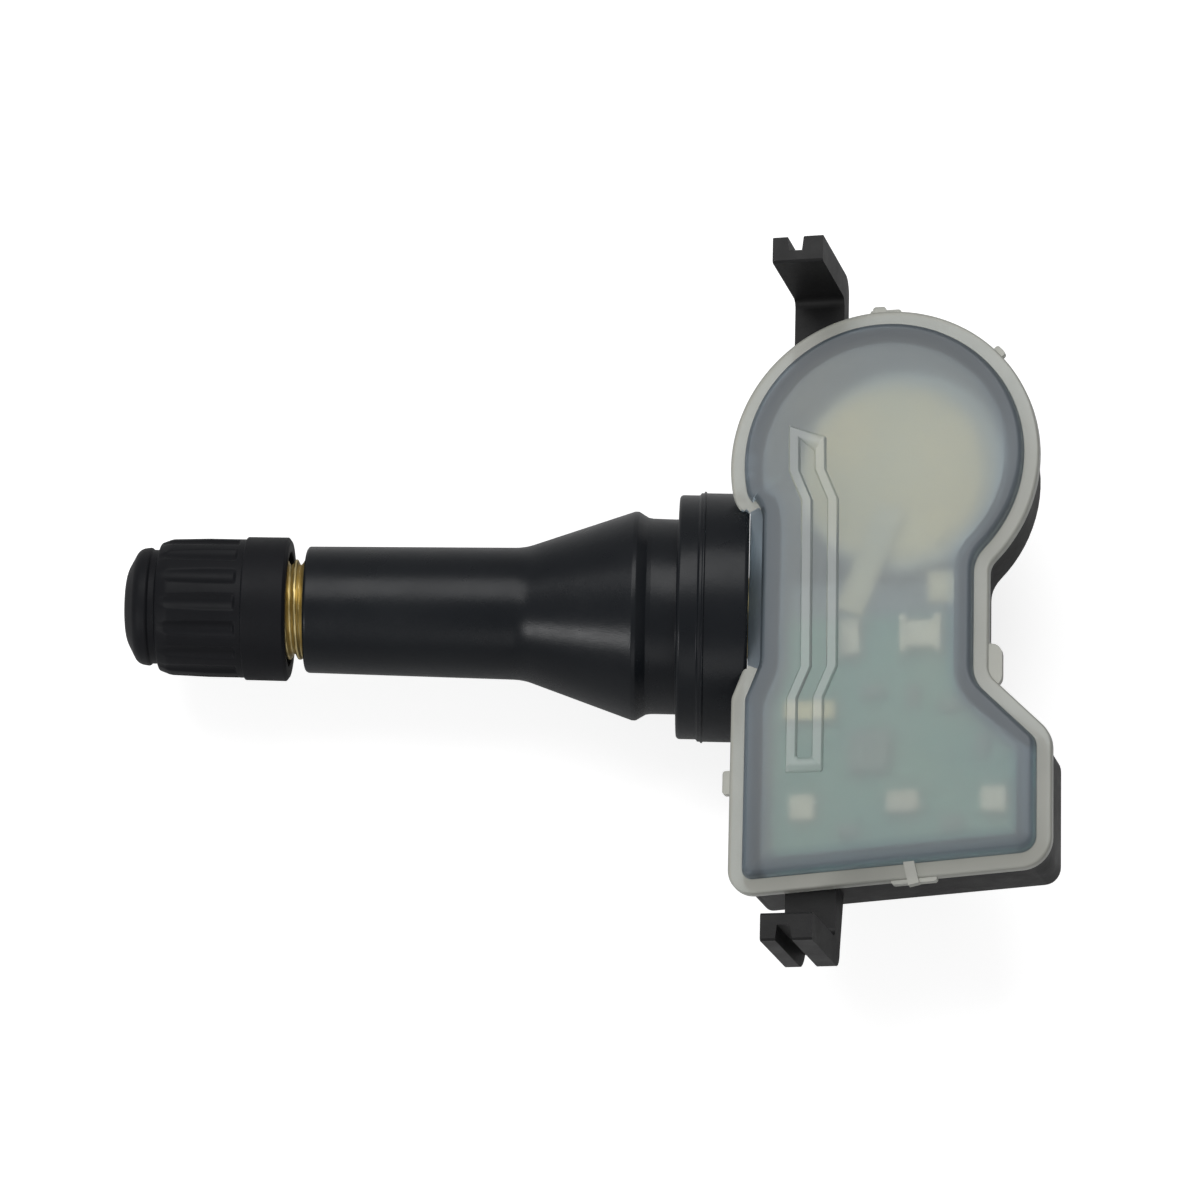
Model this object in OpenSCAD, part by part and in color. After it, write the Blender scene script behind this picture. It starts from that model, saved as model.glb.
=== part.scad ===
// Tyre pressure sensor on a snap-in rubber valve.
// The valve lies along X: its cap points to -X and the sensor hangs on its +X end.
// The origin is on the valve axis, in the plane where the rubber flange meets the wheel rim.
// All sizes are in millimetres.

/* [Rubber valve] */
// Length of rubber from the rim face out to its tip
rubber_reach = 28.9; // [24:0.1:34]
// Diameter at the outer tip
tip_d = 9.65; // [9.2:0.05:10.4]
// Diameter where the cone starts
neck_d = 10.1; // [9.6:0.05:11]
// Length of the cone
cone_len = 8.5; // [6:0.1:10]
// Diameter of the snap-in bulge
bulge_d = 16.1; // [15.2:0.1:17]
// Length of the bulge's steep inner flank
bulge_flank = 1.0; // [0.6:0.1:1.4]
// Diameter at the bottom of the rim groove
groove_d = 14.95; // [14:0.05:15.1]
// Width of the rim groove
groove_w = 2.3; // [2.1:0.1:2.8]
// Diameter of the flange at the rim face
flange_front_d = 18.7; // [18:0.1:18.9]
// Diameter of the flange behind its parting line
flange_d = 19.05; // [18.9:0.05:19.4]
// Thickness of the flange
flange_t = 5.35; // [4.4:0.05:5.4]
// Distance of the parting line from the rim face
parting_at = 1.95; // [1.6:0.05:2.6]
// Height of the parting line above the flange
parting_h = 0.1; // [0.05:0.01:0.15]

/* [Brass stem] */
// Diameter over the outer thread
thread_d = 7.7; // [7.4:0.05:7.9]
// Length of thread outside the rubber
thread_out = 9.1; // [8:0.1:10]
// Diameter of the shank inside the rubber
shank_d = 6.4; // [6:0.1:7]
// Diameter of the foot inside the rubber flange
foot_d = 10.8; // [9:0.1:12]
// Thickness of the foot
foot_t = 2.2; // [1.6:0.1:2.6]
// Distance of the foot from the rim face
foot_at = 1.2; // [0.8:0.1:1.6]
// Diameter of the spigot that carries the sensor
spigot_d = 6.2; // [5.8:0.1:6.4]
// Length of the spigot behind the rubber flange
spigot_len = 7.25; // [6.8:0.05:8.2]
// Depth of the flat along the spigot
key_depth = 0.5; // [0.3:0.1:0.8]
// Diameter of the core chamber
chamber_d = 5.3; // [5.1:0.05:5.5]
// Length of the core chamber
chamber_len = 6.6; // [6:0.1:7.2]
// Length of the tapered seal seat
seat_len = 1.2; // [0.9:0.1:1.5]
// Diameter of the bore below the seal seat
core_bore_d = 3.9; // [3.7:0.05:4]
// Length of the bore below the seal seat
core_bore_len = 9.2; // [8.2:0.1:11]
// Diameter of the air way to the wheel
air_bore_d = 2.4; // [1.8:0.1:2.6]
// Diameter of the cross hole that lets the air out
cross_hole_d = 1; // [0.8:0.1:1.2]

/* [Valve core] */
// Depth of the core below the stem's mouth
core_sink = 1; // [0.8:0.1:1.4]
// Length of the driving tongue
tongue_len = 2.2; // [1.8:0.1:2.6]
// Width of the driving tongue
tongue_w = 2.2; // [2:0.1:2.6]
// Diameter of the barrel below its thread
barrel_d = 3; // [2.8:0.05:3.2]
// Length of the barrel below its thread
barrel_tail = 4.2; // [3.8:0.1:4.8]
// Diameter of the spring's bore in the barrel
spring_bore_d = 2.1; // [2:0.05:2.2]
// Thickness of the shoulder that carries the spring
shoulder_t = 1.8; // [1.2:0.1:2]
// Diameter of the pin
pin_d = 1; // [0.9:0.05:1.1]
// Distance of the pin's tip below the stem's mouth
pin_sink = 0.2; // [0.1:0.05:0.4]
// Thickness of the pin's collar
collar_t = 0.4; // [0.3:0.05:0.6]
// Diameter of the seal cup
cup_d = 3.3; // [3.2:0.05:3.5]
// Thickness of the seal cup
cup_t = 0.9; // [0.7:0.1:1.2]
// Thickness of the cup's backing disc
backing_t = 0.6; // [0.4:0.1:0.8]
// Length of the pin behind the backing disc
pin_tail = 0.8; // [0.5:0.1:1.2]
// Wire thickness of the spring
wire_d = 0.28; // [0.2:0.02:0.3]
// Number of turns of the spring
spring_turns = 7; // [5:1:9]

/* [Valve cap] */
// Length of the cap
cap_len = 12.85; // [12.4:0.05:14]
// Gap between the cap and the rubber
cap_gap = 0.65; // [0.3:0.05:1]
// Diameter of the collar at the open end
collar_d = 11.04; // [10.8:0.02:11.6]
// Length of the collar
collar_len = 3.4; // [2.8:0.1:4]
// Diameter of the fluted grip
grip_d = 10.64; // [10.4:0.02:10.8]
// Diameter of the nose
nose_d = 9.1; // [8.8:0.1:9.6]
// Length of the nose
nose_len = 2.7; // [2.4:0.1:3]
// Number of flutes
flutes = 16; // [12:1:20]
// Depth of a flute
flute_depth = 0.3; // [0.2:0.02:0.4]
// Radius of a flute
flute_r = 0.95; // [0.8:0.05:1.2]
// Diameter of the clearance at the open end
mouth_d = 8.8; // [8.6:0.1:9.2]
// Depth of the clearance at the open end
mouth_len = 1.6; // [1:0.1:2]
// Thickness of the cap's sealing washer
seal_t = 1.6; // [1:0.1:1.8]

/* [Sensor body] */
// Distance of the body's own origin behind the rim face
body_x = 5.5; // [5.4:0.1:7]
// Height of the body's own origin above the valve axis
body_z = 6.4; // [6:0.1:7]
// Tilt of the body against the valve
body_tilt = 12.5; // [10:0.5:15]
// Radius of the round battery end
round_r = 11.8; // [11.4:0.1:12.4]
// Place of the round end across the body
round_x = 10.3; // [10:0.1:10.6]
// Place of the round end along the body
round_y = 9.9; // [9.4:0.1:10.6]
// Right side of the neck
neck_right = 18.35; // [17.8:0.05:18.8]
// Upper end of the notch for the valve flange
notch_top = 5.9; // [5.6:0.1:6.4]
// Lower end of the notch for the valve flange
notch_low = -5.6; // [-6:0.1:-5.4]
// Depth of the notch
notch_depth = 1.1; // [0.9:0.05:1.3]
// Right side of the square end
square_right = 23.1; // [22.6:0.1:23.6]
// Upper corner of the square end on the left
left_shoulder = -8.6; // [-9.2:0.1:-8.2]
// Upper corner of the square end on the right
right_shoulder = -12.9; // [-13.6:0.1:-12.4]
// Lower edge of the square end at the left corner
square_low = -23.4; // [-24.4:0.1:-22.8]
// Slope of the lower edge
low_slope = 3.6; // [2:0.1:5]
// Radius of the left lower corner
left_corner_r = 1.9; // [1.5:0.1:2.4]
// Radius of the right corners
right_corner_r = 2.4; // [2:0.1:3]
// Radius of the inner corners of the outline
inner_corner_r = 1.5; // [1.2:0.1:2]

/* [Housing] */
// Depth of the housing below the cover
housing_depth = 7.6; // [7.2:0.1:8.2]
// Overhang of the cover over the housing
cover_lip = 1.1; // [0.9:0.05:1.3]
// Extra size of the housing at the right and lower side of its square end
square_grow = 0.6; // [0:0.05:0.8]
// Wall of the housing
wall = 1.3; // [1.1:0.05:1.5]
// Floor of the housing
floor_t = 1.3; // [1:0.1:1.6]
// Rounding of the bottom edge
bottom_round = 0.9; // [0.6:0.1:1.3]
// Gap between the rubber flange and the screw boss
boss_gap = 1.05; // [1.05:0.05:1.6]
// Diameter of the screw boss
boss_d = 8.6; // [8.2:0.1:9]
// Thickness of the boss behind the spigot
boss_shoulder = 1.3; // [1:0.1:1.8]
// Depth of the screw head's recess
head_recess = 2.4; // [2.2:0.1:3]
// Diameter of the air port in the floor
port_d = 1.6; // [1.2:0.1:2]
// Height of the battery cradle above its seat
cradle_h = 1.2; // [0.8:0.1:1.6]

/* [Spring arms] */
// Left side of the arms across the body
arm_left = 2.9; // [2.6:0.05:3.2]
// Width of the arms
arm_w = 3.85; // [3.4:0.05:4.2]
// Distance of the upper arm's upright along the body
arm_up = 23.65; // [23.2:0.05:24.2]
// Distance of the lower arm's upright along the body
arm_low = -26.4; // [-27:0.05:-26]
// Thickness of an upright
arm_t = 2.05; // [1.8:0.05:2.3]
// Thickness of an arm's root
root_t = 1.7; // [1.4:0.1:2]
// Depth of the root's upper face below the cover
root_top = 0.9; // [0.6:0.1:1.4]
// Height of the uprights above the cover's lower face
arm_h = 7.6; // [7:0.1:8.2]
// Width of the groove at an upright's outer face
groove_mouth = 1.25; // [1:0.05:1.5]
// Width of the groove's floor
groove_floor = 1; // [0.8:0.05:1]
// Depth of the groove in an upright's outer face
groove_depth = 1.15; // [1:0.05:1.4]
// Place of the groove across the arm
groove_at = 1.75; // [1.6:0.05:2]
// Rounding of an arm's outer corner
arm_round = 1.3; // [0.8:0.1:1.4]
// Extra depth of the lower arm's root inside the housing
root_flare = 2; // [0:0.1:2.4]

/* [Cover] */
// Thickness of the cover's rim
rim_t = 1; // [0.8:0.05:1.2]
// Width of the rim around the raised centre
rim_w = 1.05; // [0.9:0.05:1.3]
// Height of the raised centre above the rim
raise_h = 0.8; // [0.6:0.05:1]
// Thickness of the raised centre
raise_t = 1; // [0.8:0.05:1.1]
// Width of the slope between the rim and the raised centre
raise_slope = 0.35; // [0.3:0.05:0.5]
// Length of the gate mark at the lower edge
gate_len = 2.2; // [1.8:0.1:2.6]
// Height of the gate mark
gate_h = 0.7; // [0.5:0.1:0.9]
// Half width of the rib frame
frame_half = 1.42; // [1.2:0.02:1.6]
// Width of a rib of the frame
rib_w = 0.85; // [0.7:0.05:1]
// Height of the ribs
rib_h = 0.3; // [0.2:0.05:0.4]

/* [Electronics] */
// Diameter of the battery
battery_d = 16; // [15.6:0.1:16.2]
// Thickness of the battery
battery_t = 3.2; // [2.8:0.1:3.4]
// Place of the battery across the body
battery_x = 11.3; // [11.1:0.1:11.5]
// Place of the battery along the body
battery_y = 9.6; // [9.4:0.1:9.8]
// Depth of the board's upper face below the cover
board_depth = 1.2; // [1:0.1:1.4]
// Thickness of the board
board_t = 1; // [0.8:0.1:1.2]
// Place of the board's straight end along the body, beside the battery
board_end = 0.8; // [0.2:0.1:1]
// Gap between the board and the walls
board_gap = 0.4; // [0.3:0.05:0.6]
// Thickness of the battery straps
strap_t = 0.25; // [0.2:0.05:0.3]
// Width of the battery straps
strap_w = 2.2; // [1.8:0.1:2.6]

/* [Hidden] */
$fn = 64;

// Clearances
core_gap = 0.03;
pin_gap = 0.08;
cap_thread_gap = 0.07;
seal_gap = 0.05;
spigot_gap = 0.05;
screw_gap = 0.03;
pin_fit = 0.02;
flange_gap = 0.05;
cover_clear = 0.2;
cut = 0.5;

// Places along the valve
stem_tip = -rubber_reach - thread_out;
spigot_end = flange_t + spigot_len;
chamber_end = stem_tip + chamber_len;
seat_end = chamber_end + seat_len;
core_bore_end = seat_end + core_bore_len;
cross_hole_x = flange_t + boss_gap / 2;
air_bore_end = cross_hole_x + cross_hole_d / 2;
bulge_x = -groove_w - bulge_flank;
cone_x = bulge_x - cone_len;
boss_front = flange_t + boss_gap;
boss_back = spigot_end + boss_shoulder + head_recess;
head_seat = spigot_end + boss_shoulder;

// Fixing screw
screw_d = 3.5;
screw_head_d = 5.6;
screw_head_t = 2;
screw_reach = spigot_len - 3;
screw_hole_d = screw_d + 2 * screw_gap;

// Valve core places
barrel_top = stem_tip + core_sink;
tongue_end = barrel_top + tongue_len;
barrel_end = chamber_end + barrel_tail;
spring_seat = barrel_end - shoulder_t;
collar_x = tongue_end + 0.2;
spring_top = collar_x + collar_t;
pin_tip = stem_tip + pin_sink;
cup_end = barrel_end + cup_t;
pin_end = cup_end + backing_t + pin_tail;
pin_hole_r = pin_d / 2 + pin_gap;

// Cap places
cap_mouth = -rubber_reach - cap_gap;
cap_tip = cap_mouth - cap_len;
cap_bore_r = thread_d / 2 + cap_thread_gap;
seal_face = stem_tip - seal_gap;
seal_back = seal_face - seal_t;

// Body outline, as circles that a belt runs round: centre x, centre y, radius.
// A circle that the outline bends round from outside has a minus radius.
// The square end is larger by grow at its right and lower side.
notch_r = 1.2;
shoulder_r = 1.5;
soft_r = 3;
sharp_r = 0.5;
shoulder_rise = 6.3;
square_left = -notch_depth;
round_side = 190.9;
right_low = square_low + (square_right - right_corner_r - square_left) * tan(low_slope);
neck_fillet_y = round_y - sqrt(pow(round_r + inner_corner_r, 2)
    - pow(neck_right + inner_corner_r - round_x, 2));
function belt(grow) = [
    [round_x, round_y, round_r],
    [round_x + (round_r - soft_r) * cos(round_side), round_y + (round_r - soft_r) * sin(round_side), soft_r],
    [-notch_r, notch_top - 0.4, -notch_r],
    [-notch_r, notch_low + 0.3, -notch_r],
    [square_left + shoulder_r, left_shoulder, shoulder_r],
    [square_left + left_corner_r, square_low + left_corner_r - grow, left_corner_r],
    [square_right - right_corner_r + grow, right_low + right_corner_r - grow, right_corner_r],
    [square_right - right_corner_r + grow, right_shoulder, right_corner_r],
    [neck_right + inner_corner_r, right_shoulder + shoulder_rise, -inner_corner_r],
    [neck_right + inner_corner_r, neck_fillet_y, -inner_corner_r]
];
belt_steps = [56, 4, 4, 4, 4, 7, 7, 7, 6, 6];
belt_n = len(belt_steps);

// Point in the waist that sees every part of the outline
waist_at = [neck_right / 2, (notch_top + notch_low) / 2 - 2];

// Inner levels of the body, measured from the cover's lower face
floor_z = -housing_depth + floor_t;
board_top = -board_depth;
board_under = board_top - board_t;
battery_top = board_top;
battery_low = battery_top - battery_t;
inner_inset = cover_lip + wall;
board_inset = inner_inset + board_gap;
cradle_wall = 0.8;
cradle_gap = 0.15;
cradle_open = 3.8;
arm_bury = 4;

// Parts on the board: centre across, centre along
crystal_at = [7.6, -3.6];
coil_at = [13.1, -3.6];
antenna_at = [4.7, -9.2];
chip_at = [13, -13];
pins_at = [[4.2, -16.6], [18.6, -16.4]];
pin_head_w = 1.9;
pin_head_t = 0.8;
pin_shank_d = 1.2;
post_d = 3;
chip_t = 1.9;
seal_d = 3.8;

// Direction of travel along the tangent from one belt circle to the next
function clamp1(v) = max(-1, min(1, v));
function heading(a, b) =
    let (d = [b[0] - a[0], b[1] - a[1]])
    atan2(d[1], d[0]) - asin(clamp1((b[2] - a[2]) / norm(d)));
// Length of the straight stretch between two belt circles, none where they touch
function straight(a, b) =
    let (d = [b[0] - a[0], b[1] - a[1]])
    sqrt(max(0, pow(norm(d), 2) - pow(b[2] - a[2], 2)));
// Turn at a belt circle, counted the way the outline bends there
function turn(t, side) = side > 0 ? (t + 720) % 360 : -((720 - t) % 360);
// Points round one belt circle, where a small corner that is set in keeps at least sharp_r
function belt_arc(belt, i, inset) =
    let (
        c = belt[i],
        before = belt[(i + belt_n - 1) % belt_n],
        h0 = heading(before, c),
        h1 = heading(c, belt[(i + 1) % belt_n]),
        swing = turn(h1 - h0, c[2]),
        s = c[2] > 0 ? max(c[2] - inset, sharp_r) : c[2] - inset,
        inward = c[2] > 0 ? max(0, inset + sharp_r - c[2]) : 0,
        n0 = [-sin(h0), cos(h0)],
        n1 = [-sin(h1), cos(h1)],
        moved = [c[0], c[1]] + inward * (n0 + n1) / (1 + n0 * n1),
        n = belt_steps[i],
        first = straight(before, c) < 0.05 ? 1 : 0
    )
    [for (k = [first:n]) let (h = h0 + swing * k / n) moved + s * [sin(h), -cos(h)]];
function outline(inset, grow = 0) =
    let (belt = belt(grow))
    [for (i = [0:belt_n - 1]) each belt_arc(belt, i, inset)];
function arc(c, r, a0, a1, n = 8) =
    [for (k = [0:n]) let (a = a0 + (a1 - a0) * k / n) [c[0] + r * cos(a), c[1] + r * sin(a)]];

// Solid between outlines that are given as inset and height, from the lowest up
module outline_loft(levels, grow) {
    rows = len(levels);
    rings = [for (l = levels) each [for (p = outline(l[0], grow)) [p[0], p[1], l[1]]]];
    n = len(rings) / rows;
    middles = [for (l = [levels[0], levels[rows - 1]]) [waist_at[0], waist_at[1], l[1]]];
    sides = [
        for (k = [0:rows - 2])
            for (i = [0:n - 1])
                let (j = (i + 1) % n)
                [k * n + i, (k + 1) * n + i, (k + 1) * n + j, k * n + j]
    ];
    bottom = [for (i = [0:n - 1]) [rows * n, i, (i + 1) % n]];
    top = [for (i = [0:n - 1]) [rows * n + 1, (rows - 1) * n + (i + 1) % n, (rows - 1) * n + i]];
    polyhedron(concat(rings, middles), concat(bottom, sides, top), convexity = 8);
}

// Solid turned about the valve axis from points given as radius and place along X
module turned(profile) {
    rotate([0, 90, 0])
        rotate_extrude(convexity = 6)
            polygon(profile);
}

module rod(d, from, to) {
    translate([from, 0, 0])
        rotate([0, 90, 0])
            cylinder(d = d, h = to - from);
}

module body_place() {
    translate([body_x, 0, body_z])
        rotate([0, -body_tilt, 0])
            children();
}

module slab(size, at, low) {
    translate([at[0] - size[0] / 2, at[1] - size[1] / 2, low])
        cube(size);
}

module valve_cap() {
    r_nose = nose_d / 2;
    r_grip = grip_d / 2;
    r_collar = collar_d / 2;
    dome_r = 1.3;
    ring_w = 0.75;
    grip_start = cap_tip + nose_len;
    grip_end = cap_mouth - collar_len;
    color([0.09, 0.09, 0.1])
    difference() {
        turned(concat(
            [[0, cap_tip]],
            arc([r_nose - dome_r, cap_tip + dome_r], dome_r, -90, 0, 6),
            [
                [r_nose, grip_start - ring_w],
                [r_nose - 0.15, grip_start - ring_w + 0.15],
                [r_nose - 0.15, grip_start - 0.1],
                [r_grip - 0.45, grip_start],
                [r_grip - 0.2, grip_start + 0.4],
                [r_grip - 0.07, grip_start + 1.9],
                [r_grip, grip_start + 3.7],
                [r_grip, grip_end],
                [r_collar - 0.1, grip_end + 0.1],
                [r_collar, grip_end + 0.25],
                [r_collar, cap_mouth - 0.25],
                [r_collar - 0.25, cap_mouth],
                [mouth_d / 2, cap_mouth],
                [mouth_d / 2, cap_mouth - mouth_len],
                [cap_bore_r, cap_mouth - mouth_len - 0.4],
                [cap_bore_r, seal_back],
                [0, seal_back]
            ]
        ));
        for (i = [0:flutes - 1])
            rotate([(i + 0.5) * 360 / flutes, 0, 0])
                translate([0, 0, r_grip - flute_depth + flute_r])
                    rod(2 * flute_r, grip_start - cut, grip_end - 0.5);
    }
}

module cap_seal() {
    color([0.16, 0.15, 0.15])
    turned([
        [0, seal_back],
        [cap_bore_r - pin_fit, seal_back],
        [cap_bore_r - pin_fit, seal_face],
        [1.6, seal_face],
        [1.2, seal_face - 0.4],
        [0, seal_face - 0.4]
    ]);
}

// Outer shape of the stem from the rubber's tip inwards, shared with the rubber's bore
buried_thread = 0.5;
stem_buried = [
    [thread_d / 2, -rubber_reach + buried_thread],
    [shank_d / 2, -rubber_reach + buried_thread + 0.6],
    [shank_d / 2, foot_at - 0.8],
    [foot_d / 2, foot_at],
    [foot_d / 2, foot_at + foot_t],
    [spigot_d / 2, foot_at + foot_t]
];

module valve_stem() {
    r_air = air_bore_d / 2;
    color([0.72, 0.56, 0.2])
    difference() {
        turned(concat(
            [
                [chamber_d / 2 + 0.2, stem_tip],
                [thread_d / 2 - 0.45, stem_tip],
                [thread_d / 2, stem_tip + 0.45]
            ],
            stem_buried,
            [
                [spigot_d / 2, spigot_end - 0.4],
                [spigot_d / 2 - 0.4, spigot_end],
                [0, spigot_end],
                [0, air_bore_end],
                [r_air, air_bore_end],
                [r_air, core_bore_end + 0.8],
                [core_bore_d / 2, core_bore_end],
                [core_bore_d / 2, seat_end],
                [chamber_d / 2, chamber_end],
                [chamber_d / 2, stem_tip + 0.2]
            ]
        ));
        rod(screw_hole_d, spigot_end - screw_reach - 0.6, spigot_end + cut);
        translate([cross_hole_x, 0, 0])
            rotate([90, 0, 0])
                cylinder(d = cross_hole_d, h = spigot_d + 2 * cut, center = true);
        translate([boss_front, -spigot_d, spigot_d / 2 - key_depth])
            cube([spigot_len + cut, 2 * spigot_d, spigot_d]);
    }
}

module core_barrel() {
    r_thread = chamber_d / 2 - core_gap;
    color([0.75, 0.6, 0.26])
    difference() {
        union() {
            rod(2 * r_thread, tongue_end, chamber_end);
            rod(barrel_d, tongue_end, barrel_end);
            intersection() {
                rod(2 * r_thread, barrel_top, tongue_end + 0.1);
                translate([barrel_top, -tongue_w / 2, -r_thread])
                    cube([tongue_len + 0.1, tongue_w, 2 * r_thread]);
            }
        }
        rod(2 * pin_hole_r, barrel_top - cut, barrel_end + cut);
        rod(spring_bore_d, tongue_end, spring_seat);
    }
}

module core_gasket() {
    color([0.8, 0.25, 0.2])
    turned([
        [barrel_d / 2, chamber_end],
        [chamber_d / 2, chamber_end],
        [core_bore_d / 2, seat_end],
        [barrel_d / 2, seat_end]
    ]);
}

module core_pin() {
    color([0.7, 0.7, 0.72])
    turned([
        [0, pin_tip],
        [pin_d / 2 - 0.12, pin_tip],
        [pin_d / 2, pin_tip + 0.12],
        [pin_d / 2, collar_x],
        [spring_bore_d / 2 - 0.08, collar_x],
        [spring_bore_d / 2 - 0.08, spring_top],
        [pin_d / 2, spring_top],
        [pin_d / 2, cup_end],
        [cup_d / 2 - 0.25, cup_end],
        [cup_d / 2 - 0.25, cup_end + backing_t],
        [pin_d / 2, cup_end + backing_t],
        [pin_d / 2, pin_end],
        [0, pin_end]
    ]);
}

module core_cup() {
    color([0.13, 0.13, 0.14])
    turned([
        [pin_d / 2, barrel_end],
        [cup_d / 2 - 0.15, barrel_end],
        [cup_d / 2, barrel_end + 0.15],
        [cup_d / 2, cup_end],
        [pin_d / 2, cup_end]
    ]);
}

// Coil spring swept along a helix between the pin's collar and the barrel's shoulder
module core_spring() {
    wire_r = wire_d / 2;
    coil_r = (spring_bore_d / 2 + pin_d / 2) / 2;
    sides = 8;
    steps = 14 * spring_turns;
    x0 = spring_top + wire_r;
    x1 = spring_seat - wire_r;
    pitch = (x1 - x0) / spring_turns;
    lead = atan2(pitch, 360 * coil_r * PI / 180);
    points = [
        for (k = [0:steps])
            let (a = 360 * spring_turns * k / steps, x = x0 + (x1 - x0) * k / steps)
                for (i = [0:sides - 1])
                    let (b = 360 * i / sides, r = coil_r + wire_r * cos(b), s = wire_r * sin(b))
                    [
                        x + s * cos(lead),
                        r * cos(a) + s * sin(lead) * sin(a),
                        r * sin(a) - s * sin(lead) * cos(a)
                    ]
    ];
    tube = [
        for (k = [0:steps - 1])
            for (i = [0:sides - 1])
                let (j = (i + 1) % sides)
                [k * sides + i, (k + 1) * sides + i, (k + 1) * sides + j, k * sides + j]
    ];
    start = [[for (i = [0:sides - 1]) i]];
    end = [[for (i = [0:sides - 1]) (steps + 1) * sides - 1 - i]];
    color([0.72, 0.72, 0.75])
    polyhedron(points, concat(start, tube, end), convexity = 10);
}

module valve_rubber() {
    r_front = flange_front_d / 2;
    r_back = flange_d / 2;
    edge = 0.3;
    color([0.07, 0.075, 0.085])
    turned(concat(
        [
            [thread_d / 2, -rubber_reach],
            [tip_d / 2 - 0.35, -rubber_reach],
            [tip_d / 2 - 0.1, -rubber_reach + 0.12],
            [tip_d / 2, -rubber_reach + 0.45],
            [neck_d / 2 - 0.03, cone_x - 0.9],
            [neck_d / 2 + 0.08, cone_x],
            [neck_d / 2 + 0.42, cone_x + 1],
            [bulge_d / 2 - 0.28, bulge_x - 0.9],
            [bulge_d / 2 - 0.07, bulge_x - 0.3],
            [bulge_d / 2, bulge_x],
            [bulge_d / 2 - 0.1, bulge_x + 0.25],
            [groove_d / 2 + 0.08, -groove_w - 0.12],
            [groove_d / 2, -groove_w],
            [groove_d / 2, 0],
            [r_front - edge, 0],
            [r_front - 0.09, 0.09],
            [r_front, edge],
            [r_front, parting_at - 0.5],
            [r_back, parting_at - 0.35],
            [r_back, parting_at - 0.12],
            [r_back + parting_h, parting_at - 0.06],
            [r_back + parting_h, parting_at + 0.06],
            [r_back, parting_at + 0.12],
            [r_back, flange_t - edge],
            [r_back - 0.09, flange_t - 0.09],
            [r_back - edge, flange_t],
            [spigot_d / 2, flange_t]
        ],
        [for (i = [len(stem_buried) - 1:-1:0]) stem_buried[i]]
    ));
}

module fixing_screw() {
    lobe_r = 0.35;
    lobe_at = 1.15;
    socket_depth = 1.2;
    head_end = head_seat + screw_head_t;
    color([0.62, 0.62, 0.64])
    difference() {
        union() {
            rod(screw_d, spigot_end - screw_reach, head_seat + 0.1);
            turned([
                [0, head_seat],
                [screw_head_d / 2, head_seat],
                [screw_head_d / 2, head_end - 0.7],
                [screw_head_d / 2 - 0.5, head_end - 0.15],
                [screw_head_d / 2 - 1, head_end],
                [0, head_end]
            ]);
        }
        rod(2 * lobe_at, head_end - socket_depth, head_end + cut);
        for (i = [0:5])
            rotate([i * 60, 0, 0])
                translate([0, 0, lobe_at])
                    rod(2 * lobe_r, head_end - socket_depth, head_end + cut);
    }
}

// Spring arm that stands outside one end of the body; side is 1 for the upper and -1 for the lower
module spring_arm(face, side, inner, flare) {
    low = -root_top - root_t;
    fold_r = 0.7;
    tip_r = 0.15;
    outer = face + side * arm_t;
    difference() {
        translate([arm_left, 0, 0])
            rotate([90, 0, 90])
                linear_extrude(arm_w)
                    polygon(concat(
                        [[inner, low - flare]],
                        arc([outer - side * arm_round, low + arm_round], arm_round,
                            side > 0 ? -90 : 270, side > 0 ? 0 : 180, 8),
                        [
                            [outer, arm_h - tip_r],
                            [outer - side * tip_r, arm_h],
                            [face + side * tip_r, arm_h],
                            [face, arm_h - tip_r]
                        ],
                        arc([face - side * fold_r, -root_top + fold_r], fold_r,
                            side > 0 ? 0 : 180, side > 0 ? -90 : 270, 6),
                        [[inner, -root_top]]
                    ));
        translate([arm_left + groove_at, outer, low - cut])
            linear_extrude(arm_h - low + 2 * cut)
                polygon([
                    [-groove_mouth / 2, side * cut],
                    [-groove_mouth / 2, 0],
                    [-groove_floor / 2, -side * groove_depth],
                    [groove_floor / 2, -side * groove_depth],
                    [groove_mouth / 2, 0],
                    [groove_mouth / 2, side * cut]
                ]);
    }
}

module housing_cavity() {
    difference() {
        body_place()
            translate([0, 0, floor_z])
                linear_extrude(housing_depth)
                    polygon(outline(inner_inset, square_grow));
        rod(boss_d, boss_front, boss_back);
        body_place() {
            translate([battery_x, battery_y, floor_z - cut])
                difference() {
                    union() {
                        cylinder(d = battery_d, h = battery_low - floor_z + cut);
                        cylinder(d = battery_d + 2 * (cradle_gap + cradle_wall),
                            h = battery_low - floor_z + cradle_h + cut);
                    }
                    translate([0, 0, battery_low - floor_z + cut])
                        cylinder(d = battery_d + 2 * cradle_gap, h = housing_depth);
                    cylinder(d = battery_d - 3, h = housing_depth);
                    translate([-battery_d, -battery_d - cradle_open, 0])
                        cube([2 * battery_d, battery_d, housing_depth]);
                }
            for (p = pins_at)
                translate([p[0], p[1], floor_z - cut])
                    cylinder(d = post_d, h = board_under - floor_z + cut);
        }
    }
}

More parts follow.
